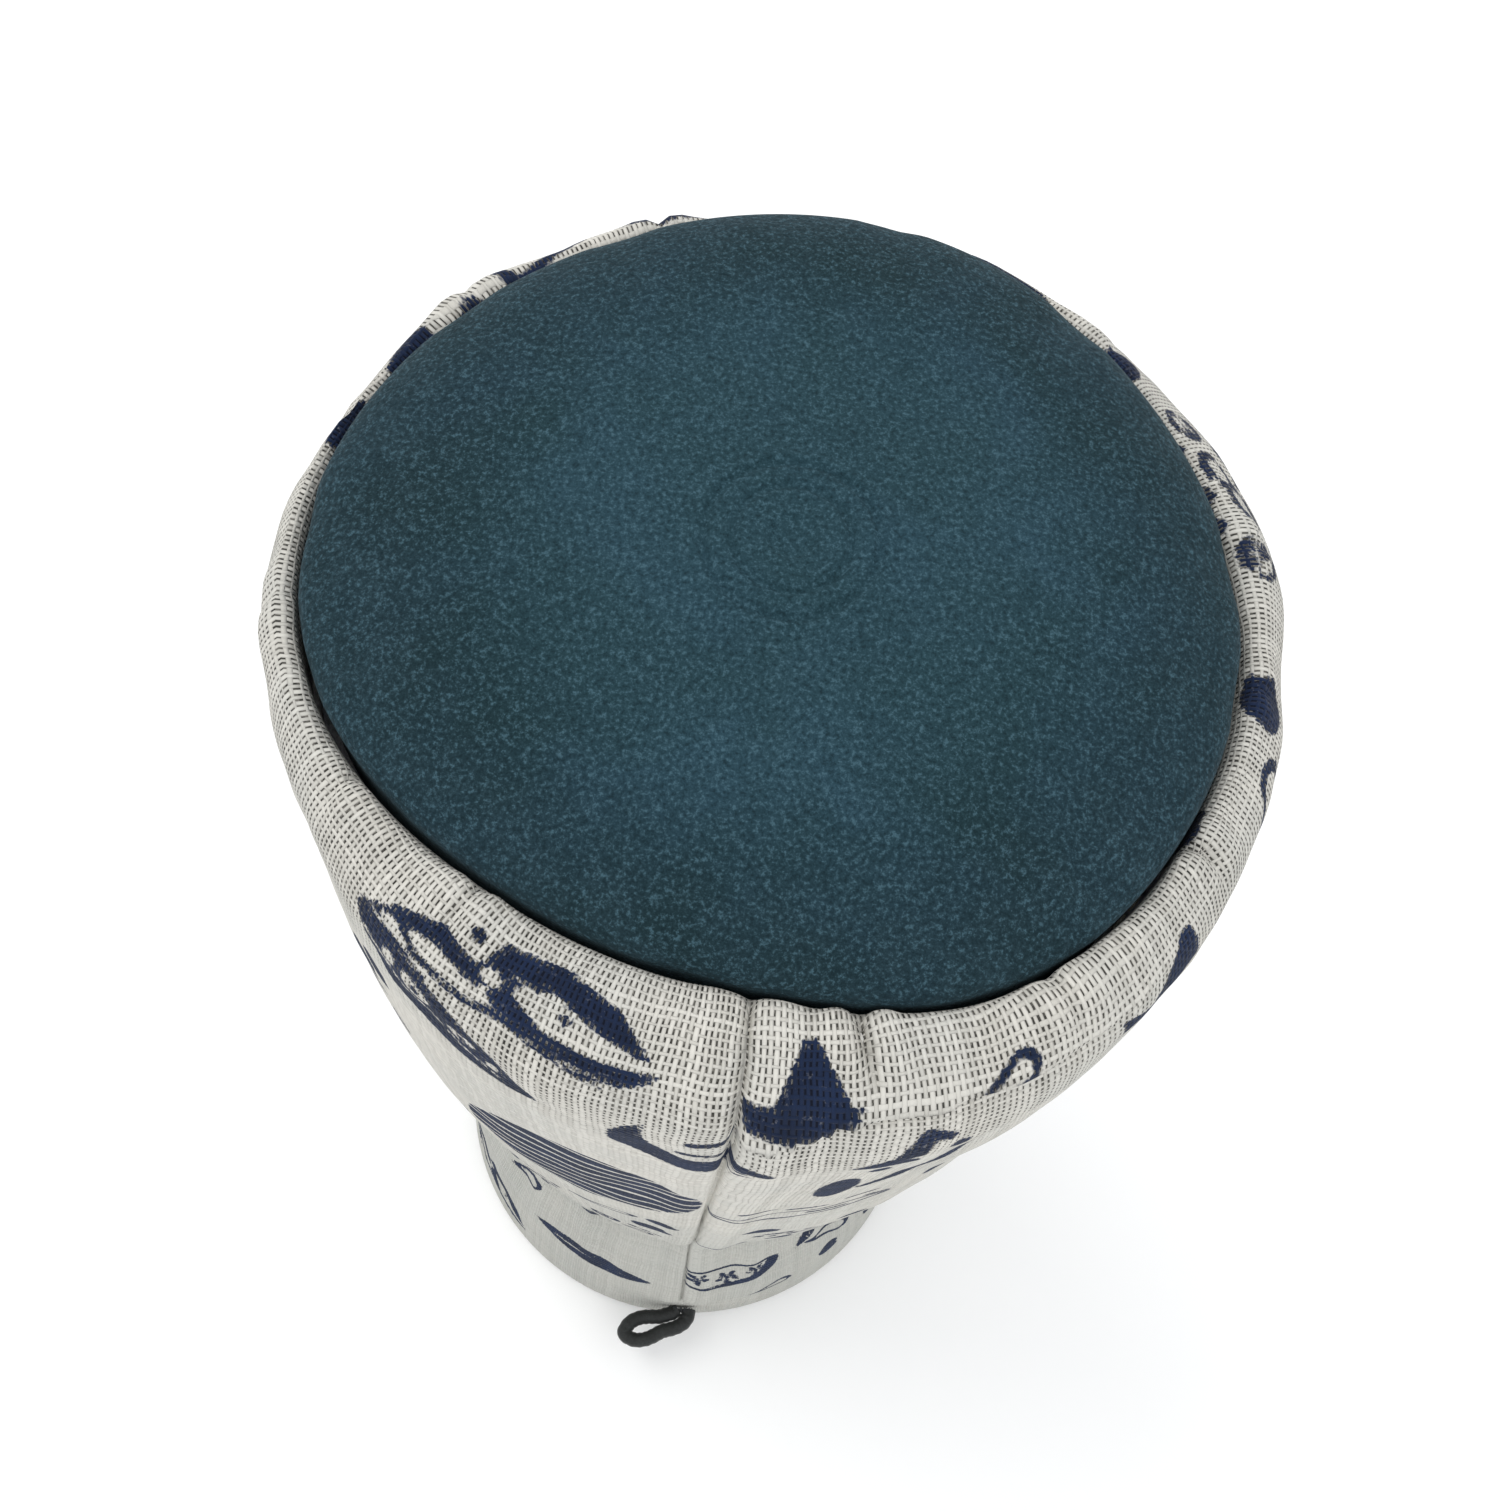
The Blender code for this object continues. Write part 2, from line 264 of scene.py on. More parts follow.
def grid_faces(columns, rows, start=0, wrap_rows=False, flip=False):
    """Quads of a closed ring of columns; point (column, row) is start + column * rows + row."""
    c, r = np.meshgrid(np.arange(columns), np.arange(rows if wrap_rows else rows - 1), indexing="ij")
    a = start + c * rows + r
    b = start + (c + 1) % columns * rows + r
    d = start + c * rows + (r + 1) % rows
    e = start + (c + 1) % columns * rows + (r + 1) % rows
    order = (a, b, e, d) if flip else (a, d, e, b)
    return [tuple(face) for face in np.stack(order, -1).reshape(-1, 4).tolist()]


def grid_normals(grid):
    """Unit normals of a closed ring of columns, (column, row, 3)."""
    normal = np.cross(np.gradient(grid, axis=1), np.roll(grid, -1, 0) - np.roll(grid, 1, 0))
    return normal / np.linalg.norm(normal, axis=2, keepdims=True)


def closed_grid(grid):
    """Points and faces of a ring of columns whose first and last rows are closed by fans."""
    columns, rows = grid.shape[:2]
    flat = grid.reshape(-1, 3)
    faces = grid_faces(columns, rows)
    first, last = len(flat), len(flat) + 1
    for c in range(columns):
        n = (c + 1) % columns
        faces.append((first, c * rows, n * rows))
        faces.append((last, n * rows + rows - 1, c * rows + rows - 1))
    return np.vstack([flat, flat[::rows].mean(0), flat[rows - 1 :: rows].mean(0)]), faces


def tube(path, radius, sides, relief=None):
    """Points and faces of a round tube along a path, with closed ends."""
    path = np.asarray(path, float)
    count = len(path)
    ahead = np.gradient(path, axis=0)
    ahead /= np.linalg.norm(ahead, axis=1, keepdims=True)
    side = np.cross(ahead[0], (0.0, 0.0, 1.0))
    if np.linalg.norm(side) < 0.1:
        side = np.cross(ahead[0], (1.0, 0.0, 0.0))
    turn = np.arange(sides) * math.tau / sides
    points = []
    for i in range(count):
        side = side - ahead[i] * side.dot(ahead[i])
        side /= np.linalg.norm(side)
        up = np.cross(ahead[i], side)
        reach = radius[i] if np.ndim(radius) else radius
        if relief is not None:
            reach = reach + relief(i, turn)
        ring = np.outer(np.cos(turn) * reach, side) + np.outer(np.sin(turn) * reach, up)
        points.append(path[i] + ring)
    points = np.vstack([*points, path[0], path[-1]])
    last = (count - 1) * sides
    faces = grid_faces(count, sides, wrap_rows=True)[:last]
    for k in range(sides):
        n = (k + 1) % sides
        faces.append((count * sides, n, k))
        faces.append((count * sides + 1, last + k, last + n))
    return points, faces


def joined(parts):
    """One list of points and one of faces from several."""
    points, faces, start = [], [], 0
    for p, f in parts:
        points.append(p)
        faces += [tuple(i + start for i in face) for face in f]
        start += len(p)
    return np.concatenate(points), faces


def stitch(a, b, radius, lift):
    """One stitch: a short strand from a to b that rises by lift in its middle."""
    t = np.linspace(0.0, 1.0, 7)[:, None]
    path = np.asarray(a) * (1 - t) + np.asarray(b) * t + np.asarray(lift) * np.sin(math.pi * t)
    thick = radius * np.sqrt(np.sin(math.pi * np.clip(t[:, 0], 0.06, 0.94)))
    return tube(path, thick, 8)


def smooth_path(points, steps):
    """A Catmull-Rom curve through the points."""
    knots = np.asarray(points, float)
    knots = np.vstack([2 * knots[0] - knots[1], knots, 2 * knots[-1] - knots[-2]])
    line = []
    for a, b, c, d in zip(knots, knots[1:], knots[2:], knots[3:]):
        for i in range(steps):
            t = i / steps
            line.append(0.5 * (2 * b + (c - a) * t + (2 * a - 5 * b + 4 * c - d) * t**2
                               + (3 * b - a - 3 * c + d) * t**3))
    line.append(knots[-2])
    return np.array(line)


# ---------------------------------------------------------------- materials


def colour(code):
    """A linear colour from an sRGB hex code."""
    parts = [int(code[i : i + 2], 16) / 255 for i in (0, 2, 4)]
    return (*[c / 12.92 if c <= 0.04045 else ((c + 0.055) / 1.055) ** 2.4 for c in parts], 1.0)


class Wire:
    """A node's output. Arithmetic on it adds math nodes."""

    def __init__(self, finish, socket):
        self.finish, self.socket = finish, socket

    def __add__(self, other):
        return self.finish.math("ADD", self, other)

    def __sub__(self, other):
        return self.finish.math("SUBTRACT", self, other)

    def __rsub__(self, other):
        return self.finish.math("SUBTRACT", other, self)

    def __mul__(self, other):
        return self.finish.math("MULTIPLY", self, other)

    def __truediv__(self, other):
        return self.finish.math("DIVIDE", self, other)

    def __abs__(self):
        return self.finish.math("ABSOLUTE", self)


class Finish:
    """A material and short calls that add its nodes."""

    def __init__(self, name, rough, specular, sheen=0.0, sheen_rough=0.5):
        self.material = bpy.data.materials.new(name)
        self.material.use_nodes = True
        self.tree = self.material.node_tree
        self.shader = self.tree.nodes["Principled BSDF"]
        self.set(Roughness=rough, Specular_IOR_Level=specular, Sheen_Weight=sheen,
                 Sheen_Roughness=sheen_rough)

    def put(self, socket, value):
        """Links a wire to an input, or sets it to a number or to a colour's hex code."""
        if isinstance(value, Wire):
            self.tree.links.new(value.socket, socket)
        else:
            socket.default_value = colour(value) if isinstance(value, str) else value

    def node(self, kind, given, out=0, **settings):
        """A new node with the given inputs and settings: one of its outputs."""
        made = self.tree.nodes.new(kind)
        for key, value in settings.items():
            setattr(made, key, value)
        for key, value in given.items():
            self.put(made.inputs[key], value)
        return Wire(self, made.outputs[out])

    def math(self, operation, *values):
        return self.node("ShaderNodeMath", dict(enumerate(values)), operation=operation)

    def step(self, value, low, high, to_low=0.0, to_high=1.0):
        """A smooth step of value from low to high."""
        given = dict(enumerate((value, low, high, to_low, to_high)))
        return self.node("ShaderNodeMapRange", given, interpolation_type="SMOOTHSTEP")

    def mix(self, share, a, b, blend="MIX"):
        return self.node("ShaderNodeMix", {0: share, 6: a, 7: b}, 2, data_type="RGBA", blend_type=blend)

    def value(self, name):
        return self.node("ShaderNodeAttribute", {}, "Fac", attribute_name=name)

    def split(self, vector):
        made = self.node("ShaderNodeSeparateXYZ", {0: vector}).socket.node
        return [Wire(self, socket) for socket in made.outputs]

    def vector(self, x, y, z=0.0):
        return self.node("ShaderNodeCombineXYZ", {0: x, 1: y, 2: z})

    def place(self):
        """The piece's own coordinates, in millimetres."""
        at = self.node("ShaderNodeTexCoord", {}, "Object")
        return self.node("ShaderNodeVectorMath", {0: at, "Scale": 1 / MM}, operation="SCALE")

    def noise(self, vector, size, detail=2.0, rough=0.5, warp=0.0):
        """Noise from about 0 to 1 with bumps about size across."""
        given = {"Vector": vector, "Scale": 1.0 / size, "Detail": detail, "Roughness": rough,
                 "Distortion": warp}
        return self.node("ShaderNodeTexNoise", given, "Fac")

    def random(self, *parts):
        given = {"Vector": self.vector(*parts)}
        return self.node("ShaderNodeTexWhiteNoise", given, "Value", noise_dimensions="3D")

    def bump(self, height, depth, strength, **under):
        given = {"Strength": strength, "Distance": depth * MM, "Height": height}
        return self.node("ShaderNodeBump", given | under)

    def two_toned(self, share, low, high, height, depth, strength):
        tone = self.mix(share, low, high)
        return self.set(Base_Color=tone, Normal=self.bump(height, depth, strength))

    def set(self, **sockets):
        for socket, value in sockets.items():
            self.put(self.shader.inputs[socket.replace("_", " ")], value)
        return self.material


WARP_PITCH, WEFT_PITCH = 0.78, 1.02
WAIST_RADIUS = 46.0


def woven(f, u, v, open_share):
    """A loose plain weave of slubby threads: its height, which is far below the threads in a hole,
    its holes, and a random number for the thread on top and for each crossing."""
    below = 1.4
    cu = u / WARP_PITCH + f.noise(f.vector(u, v), 9.0, 1.0) * 1.6
    cv = v / WEFT_PITCH + f.noise(f.vector(v, u, 40.0), 9.0, 1.0) * 1.6
    sides = []
    for mine, other, key, wide, thinned in ((cu, cv, 11.0, 0.72, 0.36), (cv, cu, 53.0, 0.66, 0.56)):
        number = f.math("FLOOR", mine)
        offset = mine - number - 0.5
        pick = f.random(number, key)
        slub = f.noise(f.vector(number * 7.31, other * 0.22, key), 1.0, 1.5)
        width = pick * 0.18 + slub * 0.46 + (wide - open_share * thinned)
        across = abs(offset) * 2.0 / width
        dome = f.math("SQRT", f.math("MAXIMUM", 1.0 - across * across, 0.0))
        sides.append((number, offset, across, dome, pick))
    warp, weft = sides
    sign = f.math("MODULO", abs(warp[0] + weft[0]), 2.0) * 2.0 - 1.0
    heights = []
    for mine, other, way in ((warp, weft, 1.0), (weft, warp, -1.0)):
        over = f.math("COSINE", other[1] * math.pi) * sign * (0.36 * way)
        there = f.math("LESS_THAN", mine[2], 1.0)
        heights.append((mine[3] * 0.62 + over + below) * there - below)
    hole = f.step(warp[2], 0.94, 1.1) * f.step(weft[2], 0.94, 1.1)
    pick = f.mix(f.math("GREATER_THAN", *heights), weft[4], warp[4])
    return f.math("MAXIMUM", *heights), hole, pick, f.random(warp[0], weft[0], 3.0)


def printed_cloth():
    """Coarse natural cloth, block-printed in indigo where the vertex values say so, with painted shade
    towards the bottom, in the weave's holes and where its threads lie low.
    """
    f = Finish("printed_cloth", 0.94, 0.12, sheen=0.05)
    at = f.node("ShaderNodeUVMap", {}, uv_map="cloth")
    u, v, _ = f.split(at)
    height, hole, pick, crossing = woven(f, u, v, f.value("open"))
    fibre = f.noise(at, 0.12, 3.0, 0.7)
    thread = f.mix((pick + fibre) * 0.5, "B3B0A8", "DEDBD3")
    cloud = f.noise(at, 22.0, 3.0, 0.6)
    thread = f.mix(f.step(cloud, 0.35, 0.7, 0.0, 0.3), thread, "B4B7B4")
    # Painted shade: the cloth turns greyer towards the bottom.
    thread = f.mix(f.step(v, 60.0, 230.0, 0.0, 0.5), thread, "9C9F9A")
    # Painted shade seen through the weave's holes: darker where the weave is more open.
    deep = f.value("open") * f.step(crossing, -0.2, 0.8)
    dark = f.mix(deep, "8A877F", "24221F")

    ragged = (f.noise(at, 0.75, 2.0, 0.6) - 0.5) * 1.1
    edge = ragged + (height - 0.2) * -0.28
    filled = f.step(f.value("ink") + edge, -0.16, 0.16, 1.0, 0.0)
    drawn = f.step(abs(f.value("line")) - 0.42 + edge * 0.6, -0.16, 0.16, 1.0, 0.0)
    wave = abs(f.math("FRACT", f.value("stripe") + ragged * 0.10) - 0.5)
    filled = filled * (1.0 - f.step(wave, 0.07, 0.12, 1.0, 0.0))
    bare = f.noise(at, 1.5, 3.0, 0.8)
    ink = f.math("MAXIMUM", filled, drawn) * f.step(bare, 0.24, 0.42, 0.72, 1.0)
    tone = f.noise(at, 7.0, 3.0, 0.6)
    dye = f.mix(f.step(tone, 0.3, 0.7), "10182D", "182542")
    dye = f.mix(fibre * 0.3, dye, "33425A")
    thread = f.mix(ink, thread, dye)
    # Under the ink, the holes' painted shade is darker still.
    dark = f.mix(ink, dark, "0E1424")
    # Painted shade: the weave is darker where its threads lie low.
    low = f.step(height, -0.3, 0.55, 0.78, 1.0)
    shown = f.mix(1.0, f.mix(hole * 0.95, thread, dark), f.vector(low, low, low), "MULTIPLY")
    fine = f.bump(fibre, 0.05, 0.5)
    return f.set(Base_Color=shown, Normal=f.bump(height, 0.30, 0.85, Normal=fine))


def nubuck():
    """Teal nubuck: cloudy dye, a short nap full of light specks, a faint pebble grain, a painted highlight
    in the middle and in patches near the edge, and painted shade towards the edge.
    """
    f = Finish("teal_nubuck", 0.88, 0.16, sheen=0.08, sheen_rough=0.42)
    at = f.place()
    cloud = f.noise(at, 26.0, 3.0, 0.55, 0.6)
    base = f.mix(f.step(cloud, 0.34, 0.68), "152D32", "1F3844")
    patch = f.noise(at, 6.0, 3.0, 0.6, 0.8)
    base = f.mix(f.step(patch, 0.35, 0.75, 0.0, 0.45), base, "132A31")
    x, y, _ = f.split(at)
    out = f.math("SQRT", x * x + y * y)
    # Painted highlight: lighter patches near the cap's edge.
    patchy_edge_highlight = f.step(out, 38.0, 56.0) * f.step(patch, 0.4, 0.65, 0.15, 0.5)
    base = f.mix(patchy_edge_highlight, base, "364F5A")
    # Painted highlight: the middle of the dome is lighter.
    base = f.mix(f.step(out, 22.0, 50.0, 0.34, 0.0), base, "2C4A56")
    # Painted shade: darker towards the edge, where the dome turns down into the gutter.
    base = f.mix(f.step(out, 30.0, 54.0, 0.0, 0.6), base, "0F2228")
    nap = f.noise(at, 0.62, 4.0, 0.8)
    base = f.mix(f.step(nap, 0.50, 0.66, 0.0, 0.62), base, "456471")
    base = f.mix(f.step(nap, 0.50, 0.34, 0.0, 0.66), base, "0C1E24")
    grain = f.node("ShaderNodeTexVoronoi", {"Vector": at, "Scale": 1 / 1.5}, "Distance",
                   feature="DISTANCE_TO_EDGE")
    pebble = f.step(grain, 0.0, 0.16) * f.step(out, 30.0, 54.0, 0.25, 1.0)
    return f.set(Base_Color=base, Normal=f.bump(nap * 0.7 + pebble * 0.45, 0.16, 0.7),
                 Roughness=f.step(nap, 0.3, 0.7, 0.95, 0.75), Sheen_Tint="9FB6BC")


def fibrous(name, low, high, size, depth, sheen):
    """A soft matted material, such as fleece, wadding or felt."""
    f = Finish(name, 0.95, 0.15, sheen, sheen_rough=0.6)
    tuft = f.noise(f.place(), size, 4.0, 0.65, 0.6)
    share = f.step(tuft, 0.3, 0.7) * 0.7 + f.noise(f.place(), size * 9) * 0.3
    return f.two_toned(share, low, high, tuft, depth, 0.9)


def ribbed(name, low, high, pitch, depth):
    """Woven tape or webbing: ribs that run round the cover, crossed by fine weft, with painted shade in the
    grooves.
    """
    f = Finish(name, 0.8, 0.3, sheen=0.2)
    x, y, z = f.split(f.place())
    round_it = f.math("ARCTAN2", x, y) * WAIST_RADIUS
    rib = abs(f.math("SINE", z * (math.pi / pitch)))
    weft = abs(f.math("SINE", round_it * (math.pi / 0.7)))
    height = rib * 0.7 + weft * 0.3
    # Painted shade: the grooves between the ribs and weft take the darker tone.
    share = height * f.step(f.noise(f.place(), 0.3), 0.2, 0.8, 0.7, 1.0)
    return f.two_toned(share, low, high, height, depth, 0.9)


def spun(name, low, high, rough=0.7):
    """Thread or braided cord: fine fibres along the strand."""
    f = Finish(name, rough, 0.35, sheen=0.25, sheen_rough=0.4)
    fibre = f.noise(f.place(), 0.22, 3.0, 0.7)
    share = f.step(fibre, 0.3, 0.75) * f.step(f.noise(f.place(), 2.2), 0.3, 0.7, 0.5, 1.0)
    return f.two_toned(share, low, high, fibre, 0.06, 0.8)


# ---------------------------------------------------------------- camera, light and floor


def add_camera():
    """From above the front, with a slight roll. Its place is in rim radii from the rim's centre."""
    spin = math.radians(-3.5)
    yaw, pitch, roll = math.radians(-0.5), math.radians(65.3), math.radians(9.2)
    look = Vector((math.sin(yaw) * math.cos(pitch), math.cos(yaw) * math.cos(pitch), -math.sin(pitch)))
    look.rotate(Matrix.Rotation(spin, 3, "Z"))
    right = look.cross(Vector((0, 0, 1))).normalized()
    up = right.cross(look)
    tilted_right = math.cos(roll) * right + math.sin(roll) * up
    tilted_up = math.cos(roll) * up - math.sin(roll) * right
    place = Vector((0.0, -1.882, 3.353)) * RIM_RADIUS * MM
    place.rotate(Matrix.Rotation(spin, 3, "Z"))
    place.z += RIM_HEIGHT * MM
    data = bpy.data.cameras.new("camera")
    data.lens = 47.62
    data.sensor_width = 36.0
    data.clip_start, data.clip_end = 0.01, 20.0
    obj = linked("camera", data)
    axes = Matrix((tilted_right, tilted_up, -look)).transposed()
    obj.matrix_world = Matrix.Translation(place) @ axes.to_4x4()
    bpy.context.scene.camera = obj


def add_light(name, place, target, size, power, tint):
    data = bpy.data.lights.new(name, "AREA")
    data.shape = "DISK"
    data.size = size
    data.energy = power
    data.color = tint
    obj = linked(name, data)
    obj.location = place
    obj.rotation_euler = (Vector(target) - Vector(place)).to_track_quat("-Z", "Y").to_euler()


def add_studio():
    """A plain pale floor and plain soft light."""
    f = Finish("floor", 0.9, 0.1)
    haze = f.noise(f.place(), 900.0, 1.0)
    finish = f.set(Base_Color=f.mix(haze, "FBFBFA", "FDFDFD"))
    mesh = bpy.data.meshes.new("floor")
    side, below = 6.0, -0.0003
    mesh.from_pydata([(-side, -side, below), (side, -side, below), (side, side, below),
                      (-side, side, below)], [], [(0, 1, 2, 3)])
    mesh.materials.append(finish)
    linked("floor", mesh)
    world = bpy.data.worlds.new("studio")
    world.use_nodes = True
    world.node_tree.nodes["Background"].inputs[0].default_value = (0.975, 0.985, 1.0, 1.0)
    world.node_tree.nodes["Background"].inputs[1].default_value = 1.05
    bpy.context.scene.world = world
    aim = (0.0, 0.0, 0.2)
    add_light("key", (-0.7, 0.35, 1.5), aim, 1.1, 7.0, (1.0, 0.99, 0.97))
    add_light("fill", (0.9, -1.1, 1.1), aim, 1.4, 3.0, (0.98, 0.99, 1.0))
    scene = bpy.context.scene
    scene.view_settings.view_transform = "Standard"
    scene.view_settings.look = "None"
    scene.view_settings.exposure = 0.0


# ---------------------------------------------------------------- hanging loop


def loop_path():
    """The cord's centreline: out of the seam, round the CAD's drop shape and back into the seam."""
    way = np.array((-0.94, -0.34, 0.0))
    way /= np.linalg.norm(way)
    across = np.cross((0.0, 0.0, 1.0), way)
    leg, side = CORD * 0.52, 2.4
    outline = ((0.4, -leg - 0.5), (1.6, -leg - 0.1), (3.0, -leg), (5.0, -leg), (7.2, -side * 0.92),
               (9.4, -side), (11.6, -side * 0.76), (13.2, 0.0), (11.6, side * 0.76), (9.4, side),
               (7.2, side * 0.92), (5.0, leg), (3.0, leg), (1.2, leg * 0.9), (-0.4, 0.9),
               (-1.5, -0.2), (-2.0, -1.5))
    return smooth_path([np.array(LOOP_ROOT) + way * u + across * v for u, v in outline], 10)


def add_hang_loop():
    """The braided cord, on its own body."""
    path = loop_path()
    reach = lengths_along(path)

    def braid(i, turn):
        lay = reach[i] * 2.1
        return 0.09 * (np.cos(8 * turn + lay) * np.cos(8 * turn - lay)) - 0.04

    points, faces = tube(path, CORD / 2, 32, braid)
    braided = spun("elastic_cord", "0B0D0D", "2C302F", 0.55)
    obj = mesh_object("cord_loop", points, faces, braided, "elastic_cord", "hang_loop", "loop", leans=False)


def add_bartack(finish):
    """Close satin stitches where the loop's two ends go into the seam."""
    low, high = (np.array(corner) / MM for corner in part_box("loop_bartack"))
    (left, front, bottom), (right, back, top) = low + (0.3, 0.0, 0.1), high - (0.3, 0.0, 0.1)
    count = 12
    parts = []
    for i in range(count):
        x = left + (right - left) * i / (count - 1)
        ends = (x, back, bottom), (x + 0.12 * math.sin(2.3 * i), back, top)
        parts.append(stitch(*ends, 0.24, (0, front - back + 0.2, 0)))
    mesh_object("bartack_stitches", *joined(parts), finish, "thread", "loop_bartack", leans=False)


# ---------------------------------------------------------------- the cloth's shape

FINE, COARSE = 0.74, 1.60
ROLL_ROWS = 40
ROLL_END = 33.4
CREST, CREST_TILT = 256.9, 1.5

PLEATS = (
    # angle, depth, how far out each runs
    (13.4, 2.7, 9.5), (-36.0, 1.2, 8.0), (-57.0, 1.0, 7.0), (36.0, 1.0, 8.0), (61.0, 1.6, 10.0),
    (84.0, 0.8, 7.0), (104.0, 0.9, 8.0), (137.0, 0.8, 8.0), (171.0, 0.7, 7.0), (-83.0, 0.8, 8.0),
    (-109.0, 0.9, 8.0), (-131.0, 0.7, 8.0), (-158.0, 0.9, 8.0),
)


def cloth_angles():
    """Column angles, close together near the seam and wider at the back."""
    found, a = [], -180.0
    while a < 180.0 - 0.4 * COARSE:
        found.append(a)
        x = min(abs(a), abs(a - PLEATS[0][0]) + 1.0)
        step = 0.36 + (FINE - 0.36) * ramp(x, 2.5, 7.0) + (COARSE - FINE) * ramp(x, 62.0, 80.0)
        a += float(step)
    return np.array(found)


def roll_section(inner, outer, crest):
    """The roll: up along the cap, over the crest and down to the wall, and the crest's place."""
    wide = outer - inner
    path = smooth_path([
        (inner, GUTTER), (inner - 0.1, 249.0), (inner - 0.1, crest - 3.8), (inner + 0.5, crest - 1.1),
        (inner + 2.0, crest), (inner + 0.46 * wide, crest - 0.7), (inner + 0.80 * wide, crest - 4.2),
        (outer - 0.2, 249.4), (outer, ROLL_BASE),
    ], 8)
    reach = lengths_along(path)
    at = np.linspace(0, reach[-1], ROLL_ROWS)
    return np.interp(at, reach, path[:, 0]), np.interp(at, reach, path[:, 1]), reach[-1] - reach[32]


def cloth_profile(angles):
    """The smooth cloth before its folds: radius, height, path length v and v from the crest."""
    inner = around(angles, RIM_OPENING) + 0.3
    bulge = around(angles, RIM_BULGE)[:, None]
    top = CREST + CREST_TILT * np.cos(np.radians(angles))
    rolls = [roll_section(i, RIM_RADIUS + b, t) for i, b, t in zip(inner, bulge[:, 0], top)]
    roll_r, roll_z = (np.array([roll[k] for roll in rolls]) for k in (0, 1))
    crest = ROLL_END - np.array([[roll[2]] for roll in rolls])
    inner = inner[:, None]
    wall_z = np.concatenate([np.linspace(244.0, 205.0, 42), np.linspace(203.8, 3.4, 165)])
    fall = np.exp(-((ROLL_BASE - wall_z) / 42.0) ** 2)
    wall_r = wall_radius(wall_z) + bulge * fall
    wall_z = wall_z + 0 * inner
    turn = np.radians(np.linspace(0, 180, 11)[1:-1])
    hem = HEM_RADIUS - HEM_TURN / 2
    hem_r = hem + HEM_TURN / 2 * np.sign(np.cos(turn)) * np.abs(np.cos(turn)) ** 0.7 + 0 * inner
    hem_z = 1.8 - 1.8 * np.sin(turn) ** 0.8 + 0 * inner
    back_z = np.linspace(2.2, HEM_TURN_HEIGHT, 9) + 0 * inner
    back_r = hem - HEM_TURN / 2 + 0 * back_z
    r = np.concatenate([roll_r, wall_r, hem_r, back_r], 1)
    z = np.concatenate([roll_z, wall_z, hem_z, back_z], 1)
    length = np.cumsum(np.hypot(np.diff(r, axis=1), np.diff(z, axis=1)), axis=1)
    length = np.pad(length, ((0, 0), (1, 0)))
    v = length - length[:, [ROLL_ROWS - 1]] + ROLL_END
    return r, z, v, v - crest


def seam_drift(r, z):
    """How far round the cloth, at RIM_RADIUS, the seam runs beside angle 0: it stays upright."""
    return -lean_at(z)[..., 0] * RIM_RADIUS / r


def cloth_folds(angles, r, z, v, past):
    """Folds of the cloth: (outward, sideways, upward) moves for each point."""
    a = angles[:, None] + 0 * v
    u = np.radians(a) * RIM_RADIUS
    base = polar(a, r, z)
    flat = base * (1.0, 1.0, 0.55)
    inside = ramp(v, HEM_START, HEM_START + 4.0) + 0 * a
    skirt = ramp(z, 4.0, 22.0)
    out = (1.0 * noise(base, 46.0, 1) + 0.55 * noise(flat, 19.0, 2)) * skirt
    out += 0.16 * noise(base, 6.0, 3) * skirt

    # Creases over the roll
    on_roll = ramp(past, -3.0, 1.0) * (1 - ramp(v, 36.0, 60.0))
    out += on_roll * (0.5 * noise(base, 11.0, 4) + 0.22 * noise(base, 4.6, 5))
    out += 0.9 * bell(past - 1.5, 4.5) * noise(polar(a, RIM_RADIUS, 0 * v), 13.0, 6)

    # Gathers at the waist, and a dent in the right side
    gather = np.sin(np.radians(a) * 23 + 2.2 * noise(base, 30.0, 7))
    gather = gather + 0.6 * np.sin(np.radians(a) * 41 + 2.5 * noise(base, 24.0, 8))
    out += 0.62 * bell(z - WAIST_HEIGHT, 20.0) * gather * (1 - inside)
    out -= 0.8 * bell(z - WAIST_HEIGHT, 9.0) + 2.4 * bell(a - 64.0, 15.0) * bell(z - 150.0, 20.0)

    # Each pleat at the rim is a sharp valley between two soft ridges
    for angle, depth, run in PLEATS:
        x = u - math.radians(angle) * RIM_RADIUS - 0.5 * np.sin(v / 3.0)
        along = ramp(past, -3.5, -1.0) * (1 - ramp(past, run * 0.25, run))
        out += depth * along * (0.45 * (bell(x - 2.8, 2.4) + bell(x + 2.8, 2.4)) - np.exp(-np.abs(x) / 0.8))

    # The seam's valley
    x = u - seam_drift(r, z)
    deep = 2.6 + 0.4 * ramp(v, 24.0, 60.0) + 0.6 * ramp(v, 120.0, 230.0)
    deep = deep * (1 - ramp(v, HEM_START + 2.0, HEM_START + 8.0))
    out += deep * (0.34 * (bell(x - 4.4, 3.8) + 0.7 * bell(x + 4.4, 3.8)) - np.exp(-np.abs(x) / 0.55))
    side = -0.3 * deep * ramp(v, 34.0, 60.0) * bell(x - 0.9, 1.4)

    # The crease under the rim, right of the seam
    line = 29.4 - 4.2 * ramp(a, 1.0, 13.0) - 1.0 * ramp(a, 13.0, 30.0)
    fade = ramp(a, -0.6, 1.0) * (1 - 0.35 * ramp(a, 9.0, 26.0)) * (1 - ramp(a, 32.0, 52.0))
    below = v - line
    step = ramp(below, -0.2, 0.9)
    out += fade * (2.3 * np.exp(np.minimum(below, 0.0) / 3.5) * (1 - step)
                   - 4.2 * np.exp(-np.maximum(below, 0.0) / 4.0) * step + 0.9 * bell(below - 13.0, 7.0))
    up = fade * (-1.7 * np.exp(np.minimum(below, 0.0) / 2.4) * (1 - step)
                 + 0.8 * np.exp(-np.maximum(below, 0.0) / 2.5) * step)
    tuck = ramp(past, -4.0, -1.0)
    return out * (1 - inside) * tuck, side * (1 - inside), up * (1 - inside)


